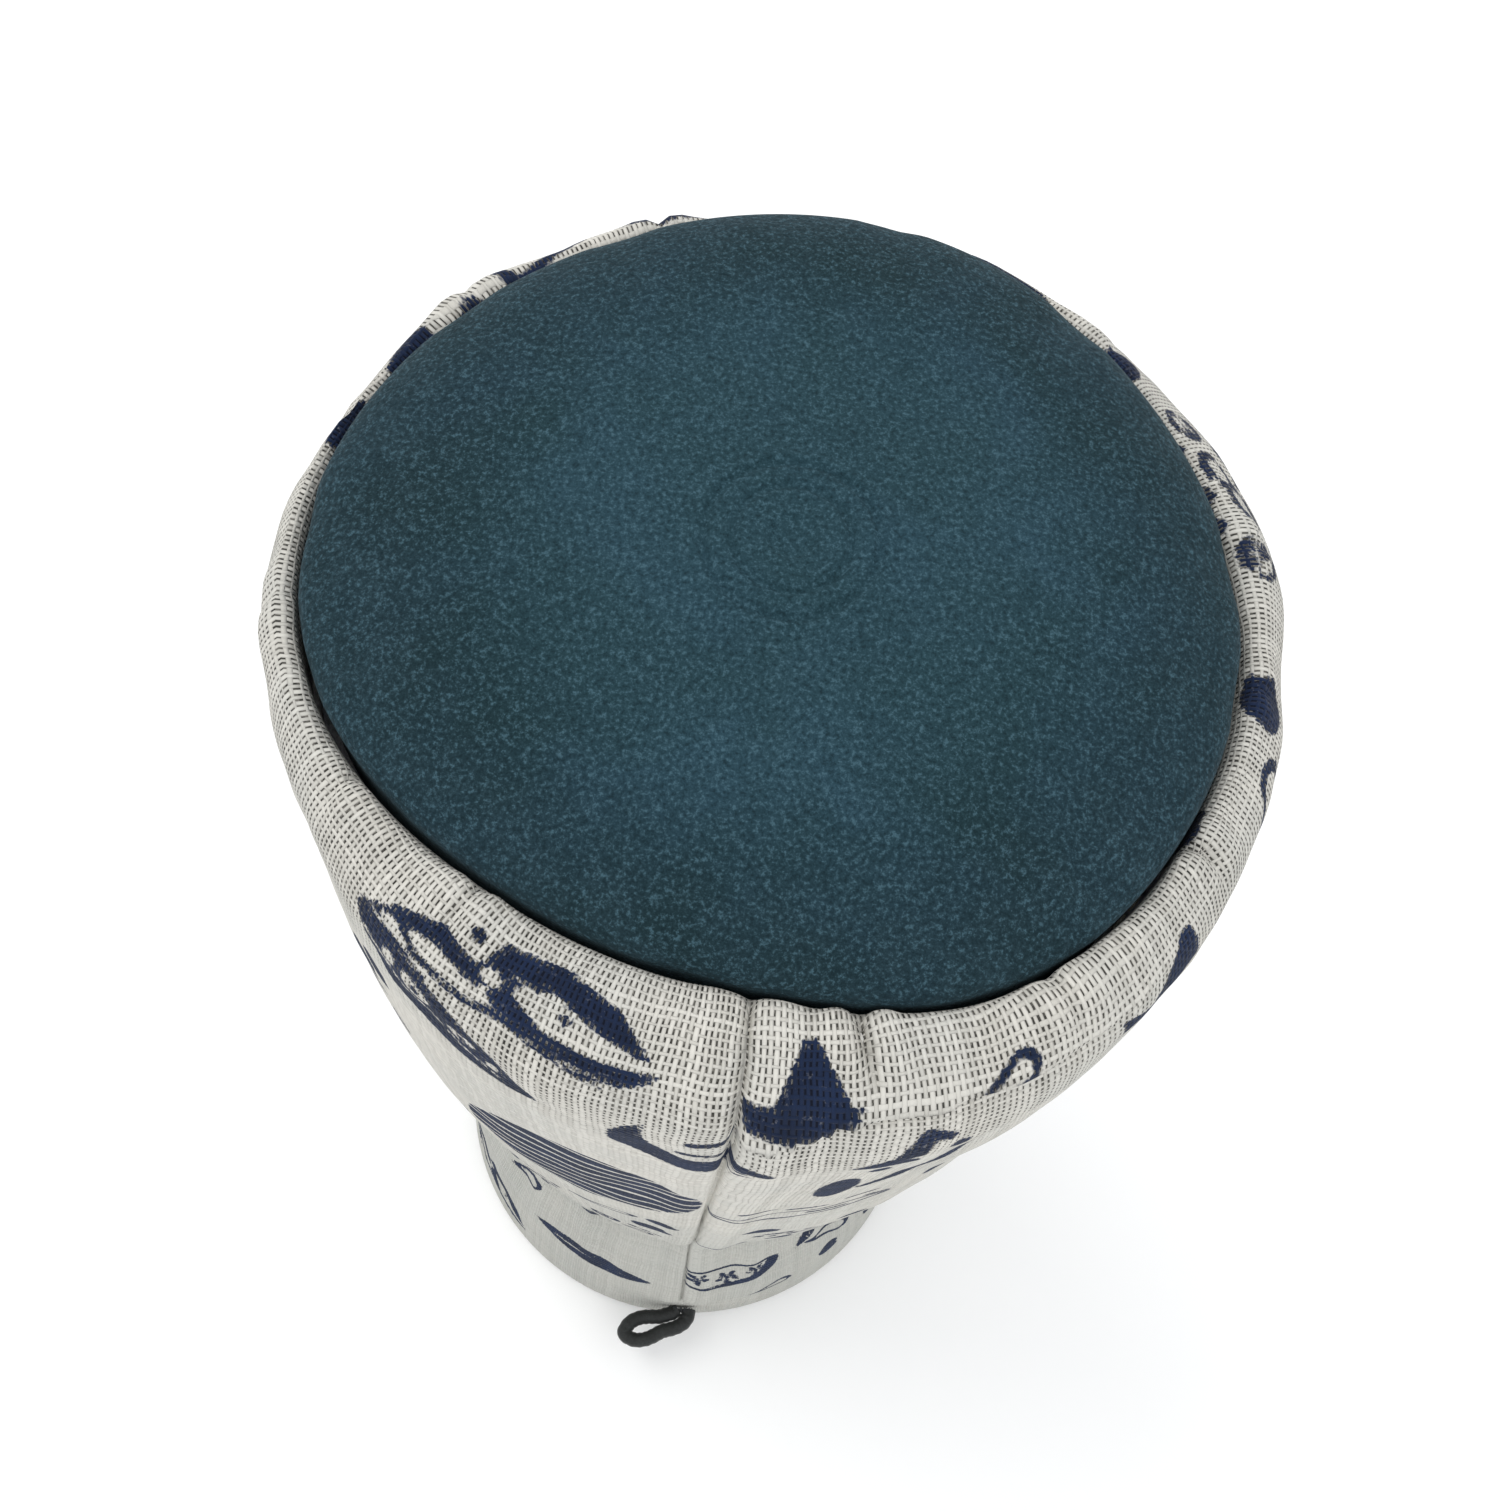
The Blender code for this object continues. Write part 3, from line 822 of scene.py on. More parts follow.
def cloth_surface(angles):
    """The folded cloth's outer face: points (column, row, 3) and the path length v."""
    r, z, v, past = cloth_profile(angles)
    dr, dz = np.gradient(r, axis=1), np.gradient(z, axis=1)
    long = np.hypot(dr, dz)
    normal_r, normal_z = -dz / long, dr / long
    out, side, up = cloth_folds(angles, r, z, v, past)
    r = r + out * normal_r
    z = z + out * normal_z + up
    a = angles[:, None] + np.degrees(side / r)
    z = np.where(v > HEM_START, np.maximum(z, 0.0), z)
    return a, r, z, v


# ---------------------------------------------------------------- the print

FAR = 30.0


def disc(x, y, cx, cy, rx, ry=None, turn=0.0):
    """Signed distance to an ellipse, negative inside."""
    ry = rx if ry is None else ry
    c, s = math.cos(math.radians(turn)), math.sin(math.radians(turn))
    p, q = (x - cx) * c + (y - cy) * s, (y - cy) * c - (x - cx) * s
    k = np.hypot(p / rx, q / ry)
    slope = np.hypot(p / rx**2, q / ry**2)
    return np.where(k > 0.05, k * (k - 1) / np.maximum(slope, 1e-6), -min(rx, ry))


def stroke(x, y, start, end, width, end_width=None):
    """Signed distance to a straight brush stroke whose width may taper."""
    end_width = width if end_width is None else end_width
    dx, dy = end[0] - start[0], end[1] - start[1]
    t = np.clip(((x - start[0]) * dx + (y - start[1]) * dy) / (dx * dx + dy * dy), 0, 1)
    away = np.hypot(x - start[0] - t * dx, y - start[1] - t * dy)
    return away - (width + (end_width - width) * t) / 2


def patch(x, y, corners):
    """Signed distance to a polygon."""
    away = np.full(x.shape, 1e9)
    inside = np.zeros(x.shape, bool)
    for (ax, ay), (bx, by) in zip(corners, corners[1:] + corners[:1]):
        away = np.minimum(away, stroke(x, y, (ax, ay), (bx, by), 0.0))
        crosses = (ay > y) != (by > y)
        at = (bx - ax) * (y - ay) / ((by - ay) or 1e-9) + ax
        inside ^= crosses & (x < at)
    return np.where(inside, -away, away)


def either(*shapes):
    return np.minimum.reduce(shapes)


def without(shape, *holes):
    return np.maximum.reduce([shape, *[-hole for hole in holes]])


def lens(x, y, long, wide):
    """A pointed leaf outline, long and wide across its two axes."""
    reach = (long**2 + wide**2) / (4 * wide)
    shift = reach - wide / 2
    return np.maximum(np.hypot(x, y - shift), np.hypot(x, y + shift)) - reach


def petals(x, y, cx, cy, size):
    """A flower: a round middle and five petals."""
    shapes = [disc(x, y, cx, cy, size * 0.28)]
    for i in range(5):
        t = math.tau * i / 5 + 0.3
        shapes.append(disc(x, y, cx + size * math.cos(t), cy + size * math.sin(t),
                           size * 0.52, size * 0.3, math.degrees(t)))
    return either(*shapes)


def leaf(x, y):
    """A broad leaf: a heavy bent upper edge, a light flower in it and loose strands under it."""
    bold = ((-17, 1.4, 1.6), (-11, -0.6, 2.4), (-4.4, 0.6, 2.2), (-2.0, -3.4, 2.8), (5.5, -4.3, 3.0),
            (13, -2.2, 3.6), (18.6, 0.6, 0.5))
    stem = ((-2.0, -3.4, 3.2), (-0.6, 1.0, 3.0), (6.0, 2.9, 1.6), (13.0, 3.4, 1.8), (16.0, 3.7, 2.4),
            (20.0, 2.7, 0.8))
    strand = ((-22.0, 5.0, 1.0), (-16.4, 4.8, 1.2), (-10.0, 5.4, 0.5))
    thin = ((-22.0, 5.0, 0.8), (-17.0, 1.4, 0.9), (-13.0, 3.4, 0.8), (-4.4, 4.4, 0.9), (1.0, 3.0, 1.2),
            (7.6, 4.4, 0.7), (15.0, 5.8, 0.4))
    shapes = []
    for run in (bold, stem, strand, thin):
        for a, b in zip(run, run[1:]):
            shapes.append(stroke(x, y, a[:2], b[:2], a[2], b[2]))
    bar = stroke(x, y, (0.6, -1.6), (4.4, -2.6), 0.9, 0.6)
    heart = disc(x, y, 7.8, -0.4, 0.9, 0.5)
    blob = disc(x, y, -2.6, -0.4, 1.6, 1.1)
    return either(without(either(*shapes), blob), bar, heart), None, None


def seed_leaf(x, y):
    """A narrow leaf split by a light rib, with two round eyelets."""
    body = lens(x, y, 32.0, 10.5)
    rib = stroke(x, y, (-13.0, 1.2), (11.0, 1.0), 0.9, 0.7)
    holes = [disc(x, y, -3.8, -1.8, 2.7, 1.6, 10), disc(x, y, 4.0, -1.6, 2.2, 1.3, -12),
             disc(x, y, -8.6, -0.8, 1.3), disc(x, y, 9.2, -0.9, 1.1)]
    dots = either(disc(x, y, -3.8, -1.8, 0.7), disc(x, y, 4.0, -1.6, 0.6))
    return either(without(body, rib, *holes), dots), None, None


def striped_oval(x, y):
    """An oval filled with wavy light stripes."""
    body = disc(x, y, 0, 0, 19.5, 26.0, 6)
    wave = (y + 1.5 * np.sin(x / 4.2 + 0.12 * y) + 0.16 * x) / 6.0
    return body, None, wave + 0.5


def crescent(x, y):
    """A crescent moon with two bars in its arms."""
    moon = without(disc(x, y, 0, 0, 11.5, 10.5), disc(x, y, 3.2, -5.6, 10.6, 9.4))
    bars = either(stroke(x, y, (-1.0, -5.6), (8.2, -5.0), 2.0, 1.6),
                  stroke(x, y, (-2.4, -0.6), (3.6, 0.6), 1.2, 1.0))
    return either(moon, bars), None, None


def peak(x, y):
    """A steep hill on a boat-shaped base."""
    hill = patch(x, y, [(-1.2, -5.4), (0.6, -5.6), (5.6, 3.6), (-5.2, 3.6)])
    base = patch(x, y, [(-9.6, 3.0), (6.8, 2.6), (4.6, 5.4), (-2.0, 7.0), (-8.0, 6.6)])
    return either(hill, base), None, None


def pebble(x, y):
    """A long dark pebble under a curling wave."""
    stone = disc(x, y, -3.6, 13.0, 2.7, 12.5)
    crest = either(patch(x, y, [(-6.0, -16.4), (-1.0, -20.0), (3.5, -12.6), (-1.4, -13.0)]),
                   stroke(x, y, (0.4, -19.0), (2.2, -27.6), 3.6, 2.2),
                   stroke(x, y, (2.2, -27.6), (4.8, -25.6), 2.2, 1.8))
    spot = disc(x, y, -1.0, -8.0, 1.3, 2.6)
    rim = either(stroke(x, y, (0.4, 17.0), (4.6, 2.0), 1.4, 2.6),
                 stroke(x, y, (4.6, 2.0), (9.4, -10.0), 2.6, 2.2), disc(x, y, 6.6, -21.0, 1.2, 1.8))
    return either(stone, crest, spot, rim), None, None


def hook(x, y):
    """A drop drawn as an outline, thick at its round end."""
    drop = either(disc(x, y, 4.6, 0.0, 2.6), patch(x, y, [(-8.0, 2.6), (4.4, -2.6), (5.0, 2.6)]))
    return without(disc(x, y, 5.2, -0.4, 3.2), disc(x, y, 4.2, 0.6, 2.7)), drop, None


def half_moon(x, y):
    """A half moon drawn as an outline round three small flowers."""
    body = np.maximum(disc(x, y, 0, -4.0, 15.0, 11.0), -4.0 - y)
    blooms = either(petals(x, y, -8.0, 0.0, 2.1), petals(x, y, 0.2, 1.8, 2.3), petals(x, y, 8.2, -0.6, 2.0))
    side = np.maximum(without(disc(x, y, 0, -4.0, 15.0, 11.0), disc(x, y, -2.6, -5.0, 14.6, 10.6)), -4.0 - y)
    return either(blooms, side), body, None


def waves(x, y):
    """Loose dashes between two long thin lines."""
    dashes = [stroke(x, y, (px, py), (px + dx, py + 0.5), wide, wide * 0.6)
              for px, py, dx, wide in ((-9, -6, 4.6, 1.4), (-2, -2.4, 5.0, 1.6), (6, -5.2, 4.0, 1.8),
                                       (-8, 1.4, 4.0, 1.2), (1.6, 4.6, 5.4, 1.5), (9.6, 0.4, 3.2, 1.4))]
    bowl = disc(x, y, 0, -2.0, 14.5, 10.0)
    rim = np.maximum(bowl, 2.0 - y)
    return either(*dashes), rim, None


def rings(x, y):
    """Two rings, a few dots and a leaf tip."""
    shapes = [without(disc(x, y, -5.0, -1.0, 3.6, 3.2), disc(x, y, -5.0, -1.0, 2.2, 1.9)),
              disc(x, y, -5.0, -1.0, 0.9),
              without(disc(x, y, 4.6, 1.6, 4.0, 3.4), disc(x, y, 4.9, 1.4, 2.6, 2.1)),
              disc(x, y, 0.2, -5.0, 1.2), disc(x, y, 3.4, -5.4, 1.1), disc(x, y, 6.8, -4.4, 1.1),
              disc(x, y, -1.4, 5.2, 1.0), disc(x, y, -5.2, 5.6, 1.3)]
    return either(*shapes), None, None


def bean(x, y):
    """A plain dark bean."""
    return without(disc(x, y, 0, 0, 3.9, 4.4, 25), disc(x, y, 5.4, -1.6, 2.6, 2.2)), None, None


def sliver(x, y):
    """A long dark sliver with a light vein."""
    return without(lens(x, y, 36.0, 6.0), stroke(x, y, (-11.0, 0.2), (10.0, 0.0), 0.9, 0.6)), None, None


def spot(x, y):
    return disc(x, y, 0, 0, 1.25, 1.1), None, None


class Print:
    """The block print on the flat cloth: signed distances at each point to what is filled and
    what is drawn as a line, and the phase of the stripes."""

    def __init__(self, u, v, seam):
        self.u, self.v, self.seam = u, v, seam
        self.ink = np.full(u.shape, FAR)
        self.line = np.full(u.shape, FAR)
        self.stripe = np.zeros(u.shape)

    def add(self, motif, u, v, turn=0.0, size=1.0, reach=34.0):
        du = wrapped(self.u - u)
        dv = self.v - v
        near = (np.hypot(du, dv) < reach * size + 4.0) & (self.v < PRINT_END)
        if abs(u) < SEAM_REACH:
            near &= (self.u > self.seam) == (u > 0.0)
        c, s = math.cos(math.radians(turn)), math.sin(math.radians(turn))
        x, y = (du[near] * c + dv[near] * s) / size, (dv[near] * c - du[near] * s) / size
        fill, line, phase = motif(x, y)
        self.ink[near] = np.minimum(self.ink[near], fill * size)
        if line is not None:
            self.line[near] = np.minimum(self.line[near], line * size)
        if phase is not None:
            self.stripe[near] = np.where(fill < 3.0, phase, self.stripe[near])


PLACED = (
    # motif, place round and down the cloth, turn, size, clear radius
    (leaf, -30.0, 20.6, 0.0, 1.0, 22), (spot, -36.7, 17.0, 0.0, 0.8, 2),
    (seed_leaf, -38.0, 33.0, 24.0, 1.0, 15), (striped_oval, -20.5, 97.0, 0.0, 1.0, 26),
    (crescent, -3.6, 40.5, 0.0, 0.95, 12), (peak, 8.2, 21.0, 0.0, 0.9, 10),
    (crescent, 1.2, 46.0, 150.0, 0.4, 7), (pebble, 20.2, 60.0, 0.0, 1.0, 28),
    (hook, 30.0, 23.4, -12.0, 0.62, 9), (waves, 16.0, 106.0, 0.0, 1.15, 17),
    (sliver, 57.0, 56.0, 40.0, 0.8, 14), (half_moon, 15.0, 243.0, 0.0, 1.0, 15),
    (sliver, -25.0, 250.0, 4.0, 1.1, 16), (seed_leaf, -36.0, 214.0, 40.0, 1.1, 17),
    (hook, -3.2, 216.0, 0.0, 1.2, 10), (sliver, 44.0, 226.0, -60.0, 0.9, 15),
    (bean, 94.0, 20.8, 0.0, 1.0, 6), (bean, 72.0, 14.0, 90.0, 0.8, 5),
    (rings, 121.0, 22.0, 0.0, 1.0, 9), (rings, 136.0, 22.5, 170.0, 0.9, 9),
    (sliver, 182.0, 20.5, 4.0, 0.95, 17), (bean, 203.0, 17.0, 0.0, 0.7, 4),
    (bean, -121.0, 20.0, 100.0, 1.0, 6), (bean, -135.0, 20.0, 60.0, 1.0, 6),
    (sliver, -186.0, 24.0, -8.0, 0.7, 13), (hook, -160.0, 22.0, 10.0, 0.9, 9),
    (hook, 47.0, 240.0, 30.0, 1.0, 9),
)
FILLERS = ((leaf, 22), (seed_leaf, 15), (striped_oval, 26), (crescent, 12), (peak, 10), (pebble, 15),
           (waves, 15), (half_moon, 15), (rings, 9), (bean, 5), (sliver, 15), (hook, 9))


def draw_print(u, v, seam):
    """The placed motifs, then others scattered with a fixed seed where there is room."""
    cloth = Print(u, v, seam)
    taken = []
    for motif, at_u, at_v, turn, size, clear in PLACED:
        cloth.add(motif, at_u, at_v, turn, size)
        taken.append((at_u, at_v, clear * size))
    chance = np.random.default_rng(41)
    for _ in range(2600):
        motif, clear = FILLERS[chance.integers(len(FILLERS))]
        at_u, at_v = chance.uniform(-AROUND / 2, AROUND / 2), chance.uniform(14.0, HEM_START)
        turn, size = chance.uniform(-35.0, 35.0), chance.uniform(0.75, 1.1)
        clear = clear * size
        room = min(math.hypot(wrapped(at_u - q), at_v - w) - c for q, w, c in taken)
        plain = -116.0 < at_u < -45.0 and at_v < 40.0 + 0.5 * clear
        side = abs(at_u) > SEAM_REACH or (at_v > 125.0 and abs(at_u) > clear)
        if room > clear * 0.86 and side and not plain:
            cloth.add(motif, at_u, at_v, turn, size)
            taken.append((at_u, at_v, clear))
    return cloth


# ---------------------------------------------------------------- outer cloth


def add_outer_cloth(finish):
    """The printed panel with its thickness: a fine outer face and a coarser inner one."""
    angles = cloth_angles()
    angles = angles[: len(angles) // 4 * 4]
    a, r, z, v = cloth_surface(angles)
    columns, rows = r.shape
    points = polar(a, r, z).reshape(-1, 3)
    faces = grid_faces(columns, rows)

    keep = list(range(0, rows - 1, 4)) + [rows - 1]
    grid = points.reshape(columns, rows, 3)
    inner = (grid - grid_normals(grid) * CLOTH)[::4][:, keep]
    start = len(points)
    inner_columns, inner_rows = inner.shape[:2]
    faces += grid_faces(inner_columns, inner_rows, start, flip=True)
    for c in range(inner_columns):
        near = [(4 * c + k) % columns for k in range(5)]
        this, following = start + c * inner_rows, start + (c + 1) % inner_columns * inner_rows
        faces.append([following, this] + [n * rows for n in near])
        last, end = rows - 1, inner_rows - 1
        faces.append([this + end, following + end] + [n * rows + last for n in near[::-1]])
    points = np.vstack([points, inner.reshape(-1, 3)])

    obj = mesh_object("cloth_panel", points, faces, finish, "printed_cloth", "outer_cloth")
    u = np.radians(angles)[:, None] * RIM_RADIUS + 0 * v
    printed = draw_print(u, v, seam_drift(r, z))
    right_side = (ramp(angles, 0.0, 3.0) * (1 - ramp(angles, 50.0, 80.0)))[:, None]
    tight = ramp(v, 27.0, 46.0) * (1 - right_side)
    tight = tight + (0.6 * ramp(v, 34.0, 50.0) + 0.4 * ramp(v, 90.0, 130.0)) * right_side
    stretched = np.clip(1.0 - 0.86 * tight + 0.15 * noise(polar(a, r, z), 24.0, 9), 0.0, 1.0)

    def with_inner(values):
        return np.concatenate([values.ravel(), values[::4][:, keep].ravel()])

    for name, values in (("ink", printed.ink), ("line", printed.line), ("stripe", printed.stripe),
                         ("open", stretched)):
        add_value(obj, name, with_inner(values))
    add_uv(obj, "cloth", np.stack([with_inner(u), with_inner(v)], -1))
    return angles, r, z, v


# ---------------------------------------------------------------- cap


def cap_relief(points, x, y, share):
    """Lumps of the filling, puckers near the edge and the debossed rings in the middle."""
    out = 0.5 * noise(points, 27.0, 21) + 0.22 * noise(points, 12.0, 22)
    out = out + 0.05 * noise(points, 2.4, 23)
    turn = np.degrees(np.arctan2(x, -y))
    rim = polar(turn, 56.0, 0 * x)
    out = out + 0.55 * ramp(share, 0.74, 1.0) * noise(rim * (1, 1, 0), 9.0, 24)
    away = np.hypot(x + 1.0, y - 0.5)
    for radius, width, depth in ((10.6, 0.75, 0.42), (7.2, 0.7, 0.36)):
        out = out - depth * (1 - ramp(np.abs(away - radius), width * 0.5, width))
        out = out + 0.12 * bell(np.abs(away - radius) - width * 1.4, 0.5)
    out = out - 0.38 * (1 - ramp(away, 2.6, 3.3))
    return out - ramp(share, 0.84, 0.97) * np.maximum(out, 0.0)


def dome(share):
    """Height of the cap's smooth dome, 1 in the middle and 0 at its edge."""
    return (1 - share**2.4) ** 0.55


def add_cap(finish):
    """The nubuck disc: a soft dome whose edge turns down into the gutter, with its thickness."""
    angles = ring_angles(288)[:, None]
    edge = around(angles, RIM_OPENING) - 0.15
    spans = (0.01, 0.26, 32), (0.28, 0.93, 34), (0.94, 1.0, 9)
    share = np.concatenate([np.linspace(*span) for span in spans])
    rise = CAP_TOP - CAP_BULGE_HEIGHT - 0.3
    points = polar(angles, edge * share, CAP_BULGE_HEIGHT + rise * dome(share))
    out = cap_relief(points, points[..., 0], points[..., 1], share + 0 * edge)
    points = points + grid_normals(points) * out[..., None]
    inward = np.array([0.15, 0.4, 0.7, 1.0, 1.25, CAP_TUCK])
    down = np.array([1.6, 3.4, 6.0, 9.5, 13.5, 15.4])
    skirt = polar(angles, edge - inward, CAP_BULGE_HEIGHT - down)
    moved = points[:, [-1]] - polar(angles, edge, CAP_BULGE_HEIGHT)
    skirt += moved * (1 - ramp(down, 0.0, 7.0))[None, :, None]
    share = np.array([0.985, 0.96, 0.9, 0.8, 0.65, 0.45, 0.2, 0.02])
    height = CAP_BULGE_HEIGHT + (rise - LEATHER) * dome(share) - 0.6
    lining = polar(angles, (edge - LEATHER) * share, height)
    foot = polar(angles, edge - CAP_TUCK - LEATHER, np.array([GUTTER + 0.1, 250.0, 255.5]))
    points, faces = closed_grid(np.concatenate([points, skirt, foot, lining], 1))
    obj = mesh_object("nubuck_cap", points, faces, finish, "teal_nubuck", "cap_leather")


# ---------------------------------------------------------------- pieces inside


def ring_piece(name, sections, finish, slot, node, rough, size, seed):
    """A closed ring from sections (column, point, 2) of radius and height, with a lumpy face."""
    columns, rows = sections.shape[:2]
    points = polar(ring_angles(columns)[:, None], sections[..., 0], sections[..., 1])
    away = points - points.mean(1, keepdims=True)
    away /= np.maximum(np.linalg.norm(away, axis=2, keepdims=True), 1e-6)
    points = points - away * lumps(points, rough, size, seed)[..., None]
    faces = grid_faces(columns, rows, wrap_rows=True)
    return mesh_object(name, points.reshape(-1, 3), faces, finish, slot, node)


def disc_piece(name, profile, finish, slot, node, rough, size, seed):
    """A closed round piece from profiles (column, point, 2) that start and end near the axis."""
    points = polar(ring_angles(len(profile))[:, None], profile[..., 0], profile[..., 1])
    points[..., 2] -= lumps(points * (1, 1, 0.2), rough, size, seed)
    return mesh_object(name, *closed_grid(points), finish, slot, node)


def open_ring(name, sections, at, opening, finish, slot, node, rough):
    """A sheet's section carried round from one side of the seam to the other, with closed ends."""
    keep = np.abs(at) >= opening
    order = np.argsort(at[keep] % 360.0)
    angles = (at[keep] % 360.0)[order]
    picked = sections[keep][order]
    points = polar(angles[:, None], picked[..., 0], picked[..., 1])
    points = points * (1 - (lumps(points, rough, 5.0, 68) / BARREL_RADIUS)[..., None] * (1, 1, 0))
    columns, rows = points.shape[:2]
    last = (columns - 1) * rows
    faces = grid_faces(columns, rows, wrap_rows=True)[:last]
    faces.append(tuple(range(rows)))
    faces.append(tuple(last + k for k in range(rows - 1, -1, -1)))
    return mesh_object(name, points.reshape(-1, 3), faces, finish, slot, node)


def sheet_sections(low, high, outer, inner, count):
    """Sections of a sheet between two heights, from the radius of its outer and inner face."""
    up = np.linspace(low, high, count)
    down = up[::-1]
    out_r = outer(down)
    in_r = np.minimum(inner(up), out_r[:, ::-1] - 0.4)
    section_r = np.concatenate([out_r, in_r], 1)
    section_z = np.concatenate([down, up])[None] + 0 * section_r
    return np.stack([section_r, section_z], -1)


def lining_depth(z):
    """How deep behind the cloth's outer face the lining's lies, in the skirt and in the barrel."""
    skirt, barrel = HEM_TURN - CLOTH + GAP, CLOTH + WADDING + 2 * GAP
    low, high = 30.0, 70.0
    return skirt + (barrel - skirt) * np.clip((z - low) / (high - low), 0.0, 1.0)


def add_rim_filler(cloth, nearest, wadding):
    """The soft ring: an arch that follows the roll's inside, down to a foot in the gutter."""
    angles, r, z, v = cloth
    sections = []
    for c in nearest:
        picked = np.linspace(v[c, 0] + 4.0, ROLL_END + 1.0, 22)
        path = np.stack([np.interp(picked, v[c], r[c]), np.interp(picked, v[c], z[c])], -1)
        centre = path.mean(0)
        off = path - centre
        size = np.linalg.norm(off, axis=1, keepdims=True)
        arch = centre + off * np.maximum(1 - (CLOTH + GAP + 0.2) / size, 0.3)
        foot = np.array([[arch[-1, 0] - 0.2, GUTTER - 1.6], [arch[0, 0] + 0.4, GUTTER - 1.6]])
        sections.append(np.vstack([arch, foot]))
    obj = ring_piece("rim_roll_filler", np.array(sections), wadding, "wadding", "rim_filler", 0.3, 4.0, 62)


def add_discs(wadding, fleece, felt):
    """The cap's filling, the felt under it and the lining's top."""
    edge = around(ring_angles(96), RIM_OPENING)[:, None]
    share = np.array([0.03, 0.25, 0.5, 0.7, 0.85, 0.94, 0.985, 1.0])
    top = CAP_BULGE_HEIGHT + (CAP_TOP - CAP_BULGE_HEIGHT - LEATHER - 2.2) * dome(share) - 1.6
    floor = GUTTER + 1.9
    profile_r = np.concatenate([share, [0.98, 0.97, 0.96, 0.5, 0.03]]) * (edge - LEATHER - 1.6)
    profile_z = np.concatenate([top, [255.0, 250.0, floor, floor, floor]]) + 0 * edge
    obj = disc_piece("cap_fibre_filling", np.stack([profile_r, profile_z], -1), wadding, "wadding",
                     "cap_filling", 0.35, 5.0, 63)

    def flat_disc(reach, top, bottom):
        half = np.array([0.03, 0.3, 0.6, 0.85, 0.97, 1.0])
        soft = np.array([0, 0, 0, 0, 0.08, 0.3])
        heights = np.concatenate([top - soft, bottom + soft[::-1]])
        return np.stack([np.concatenate([half, half[::-1]]) * reach, heights + 0 * reach], -1)

    disc = flat_disc(edge - CAP_TUCK - LEATHER - 0.7, GUTTER + 1.5, GUTTER + 0.35)
    disc_piece("cap_backing_felt", disc, felt, "backing_felt", "cap_backing", 0.1, 3.0, 64)
    disc = flat_disc(58.0 + 0 * edge, 240.5, 238.7)
    disc_piece("fleece_lining_top", disc, fleece, "fleece", "lining_top", 0.3, 2.4, 65)


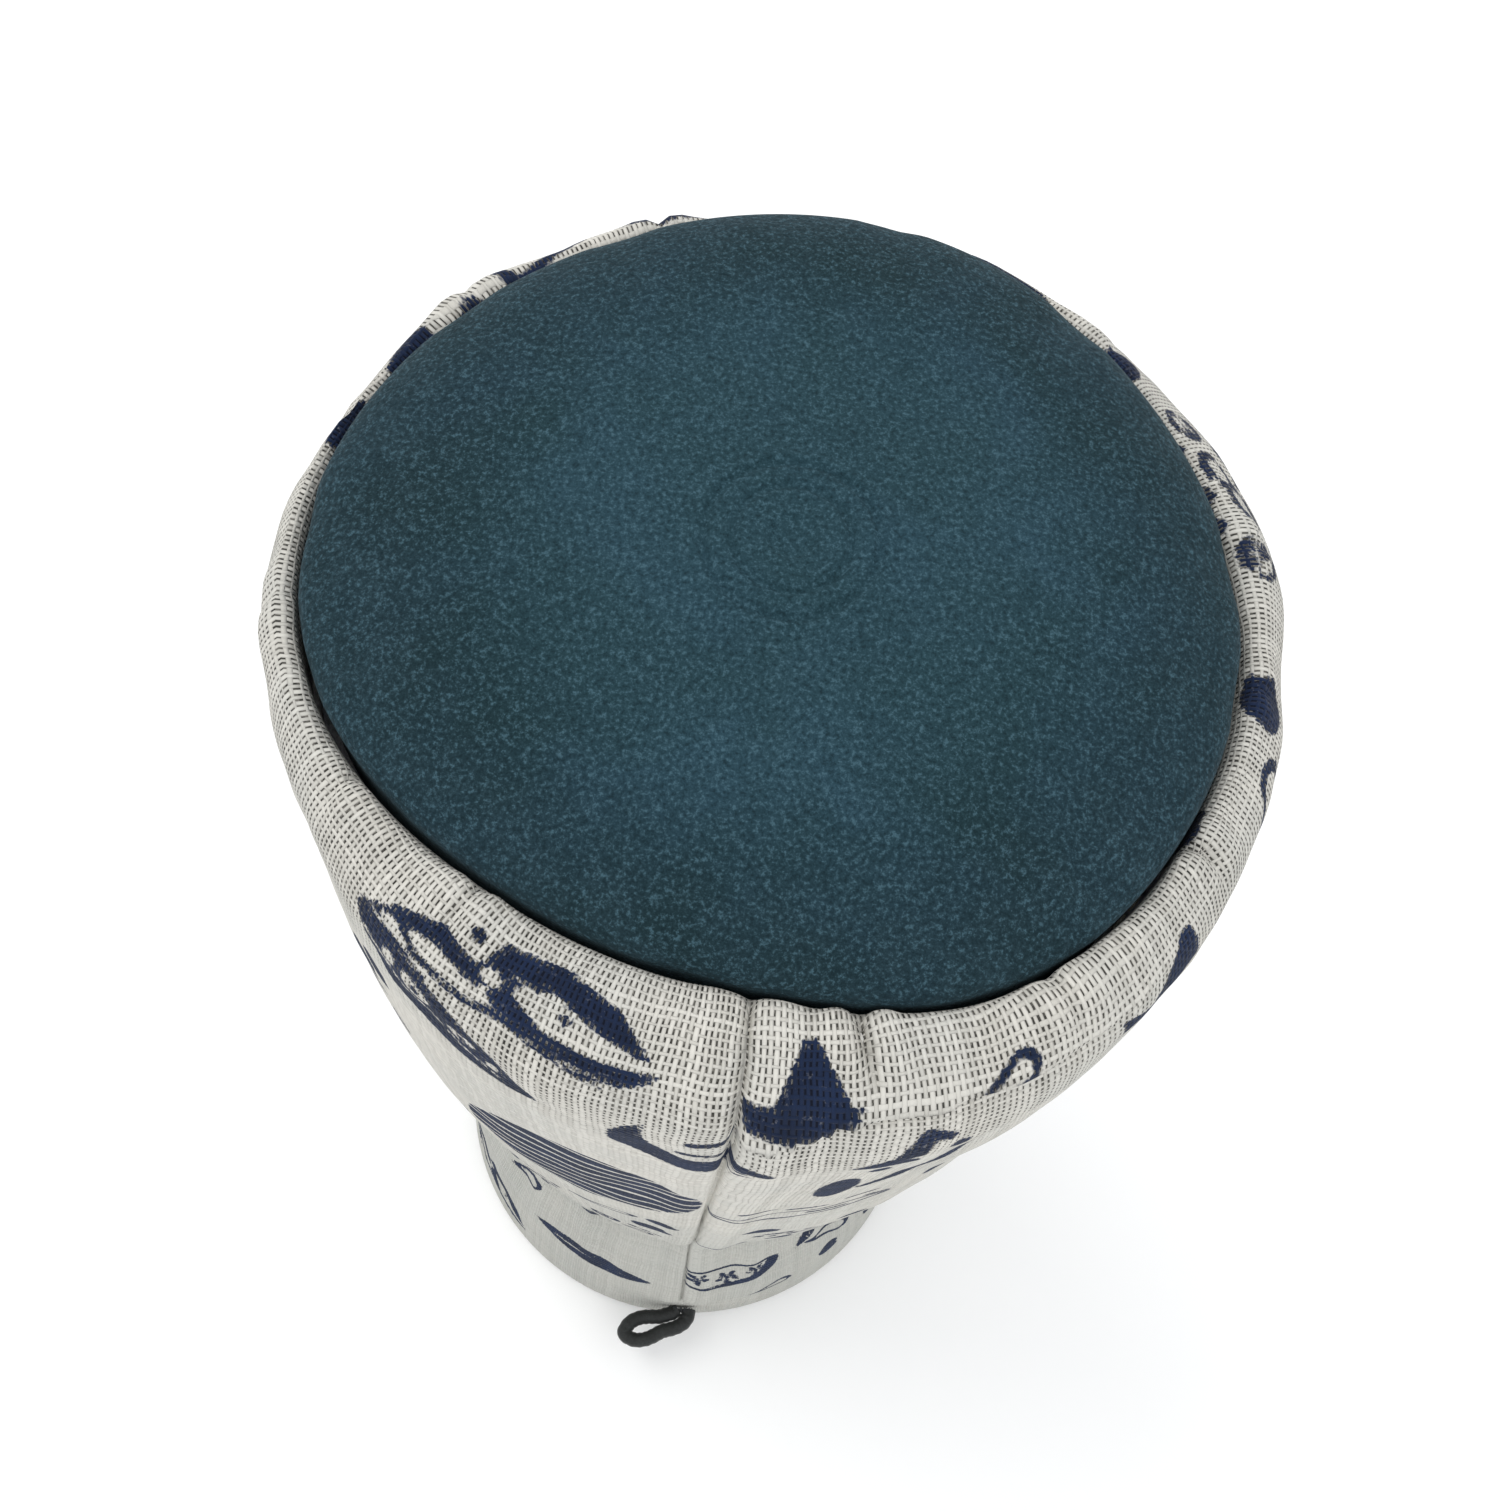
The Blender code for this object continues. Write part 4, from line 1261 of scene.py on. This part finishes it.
def add_inside(cloth):
    """Filler, wadding, linings and elastic, fitted behind the folded cloth."""
    angles, r, z, v = cloth
    at = ring_angles(160)
    nearest = [int(np.argmin(np.abs(angles - x))) for x in at]
    wall = (v[nearest[0]] > ROLL_END) & (v[nearest[0]] < HEM_START)

    def behind(heights, depth):
        """Radius at depth behind the folded cloth's outer face, never past the smooth wall."""
        found = np.empty((len(at), len(heights)))
        for i, c in enumerate(nearest):
            order = np.argsort(z[c][wall])
            found[i] = np.interp(heights, z[c][wall][order], r[c][wall][order])
        smooth_wall = np.minimum.reduce([np.roll(found, k, 0) for k in (-1, 0, 1)])
        return np.minimum(smooth_wall, wall_radius(heights)) - depth

    wadding = fibrous("wadding", "D9D8D2", "F4F3EF", 1.4, 0.5, 0.4)
    fleece = fibrous("fleece", "8F9499", "C9CDD0", 1.1, 0.45, 0.6)
    felt = fibrous("felt", "4A4E52", "6C7074", 0.8, 0.2, 0.3)
    webbing = ribbed("elastic_webbing", "B9B7B0", "EDEBE6", 1.6, 0.35)
    tape = ribbed("casing_tape", "C9C6BD", "EAE7DF", 0.8, 0.15)

    sheet = sheet_sections(73.5, 238.0, lambda h: behind(h, CLOTH + GAP),
                           lambda h: behind(h, CLOTH + GAP) - WADDING + 0.2, 54)
    obj = open_ring("body_wadding_sheet", sheet, at, 4.0, wadding, "wadding", "body_wadding", 0.25)

    def lining_outside(h):
        return np.minimum(wall_radius(h) - lining_depth(h), behind(h, CLOTH + GAP) - 0.8) - 0.05

    def lining_inside(h):
        return wall_radius(h) - lining_depth(h) - FLEECE + 0 * at[:, None]

    sheet = sheet_sections(HEM_TURN_HEIGHT + 1.0, 237.0, lining_outside, lining_inside, 64)
    ring_piece("fleece_lining", sheet, fleece, "fleece", "lining_tube", 0.35, 2.2, 61)
    add_rim_filler(cloth, nearest, wadding)
    add_discs(wadding, fleece, felt)

    for name, finish, slot, node, low, high, face, thick, seed in (
        ("waist_casing_tape", tape, "casing_tape", "elastic_casing", 44.2, 69.8, CLOTH + BAND_GAP, TAPE, 66),
        ("waist_elastic_band", webbing, "elastic_webbing", "waist_elastic", 47.2, 66.8,
         CLOTH + BAND_GAP + TAPE + BAND_GAP, ELASTIC, 67),
    ):
        band = sheet_sections(low, high, lambda h: behind(h, face), lambda h: behind(h, face + thick), 16)
        ring_piece(name, band, finish, slot, node, 0.05, 2.0, seed)


def add_threads():
    """Each round of stitching, as separate stitches a little apart."""
    white = spun("sewing_thread", "B9B6AC", "E9E6DD")
    for node in ("cap_seam_thread", "hem_thread", "casing_thread_upper", "casing_thread_lower"):
        low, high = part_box(node)
        radius = (high.x - low.x) / 2 / MM - THREAD / 2
        height = (low.z + high.z) / 2 / MM
        count = int(round(math.tau * radius / STITCH_PITCH))
        places = 0.0, STITCH_SHARE / 2, STITCH_SHARE
        parts = []
        for i in range(count):
            a, middle, b = (polar(360.0 * (i + k) / count, radius, height) for k in places)
            parts.append(stitch(a, b, THREAD / 2, middle - (a + b) / 2))
        mesh_object(node.replace("thread", "stitches"), *joined(parts), white, "thread", node)
    low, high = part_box("side_seam_thread")
    parts = []
    for start in np.arange(low.z / MM + 1.5, high.z / MM - 1.5, SIDE_PITCH):
        heights = np.array([start, start + SIDE_STITCH])
        ends = np.stack([-lean_at(heights)[:, 0], CLOTH + GAP + THREAD - wall_radius(heights), heights], -1)
        parts.append(stitch(*ends, THREAD / 2, (0.0, 0.1, 0.0)))
    mesh_object("side_seam_stitches", *joined(parts), white, "thread", "side_seam_thread")
    add_bartack(spun("dark_thread", "14171A", "33383B"))


# ---------------------------------------------------------------- the scene


def main():
    for obj in [o for o in bpy.data.objects if o.name in ("Cube", "Light", "Camera")]:
        bpy.data.objects.remove(obj, do_unlink=True)
    add_camera()
    add_hang_loop()
    cloth = add_outer_cloth(printed_cloth())
    add_cap(nubuck())
    add_inside(cloth)
    add_threads()
    add_studio()


main()
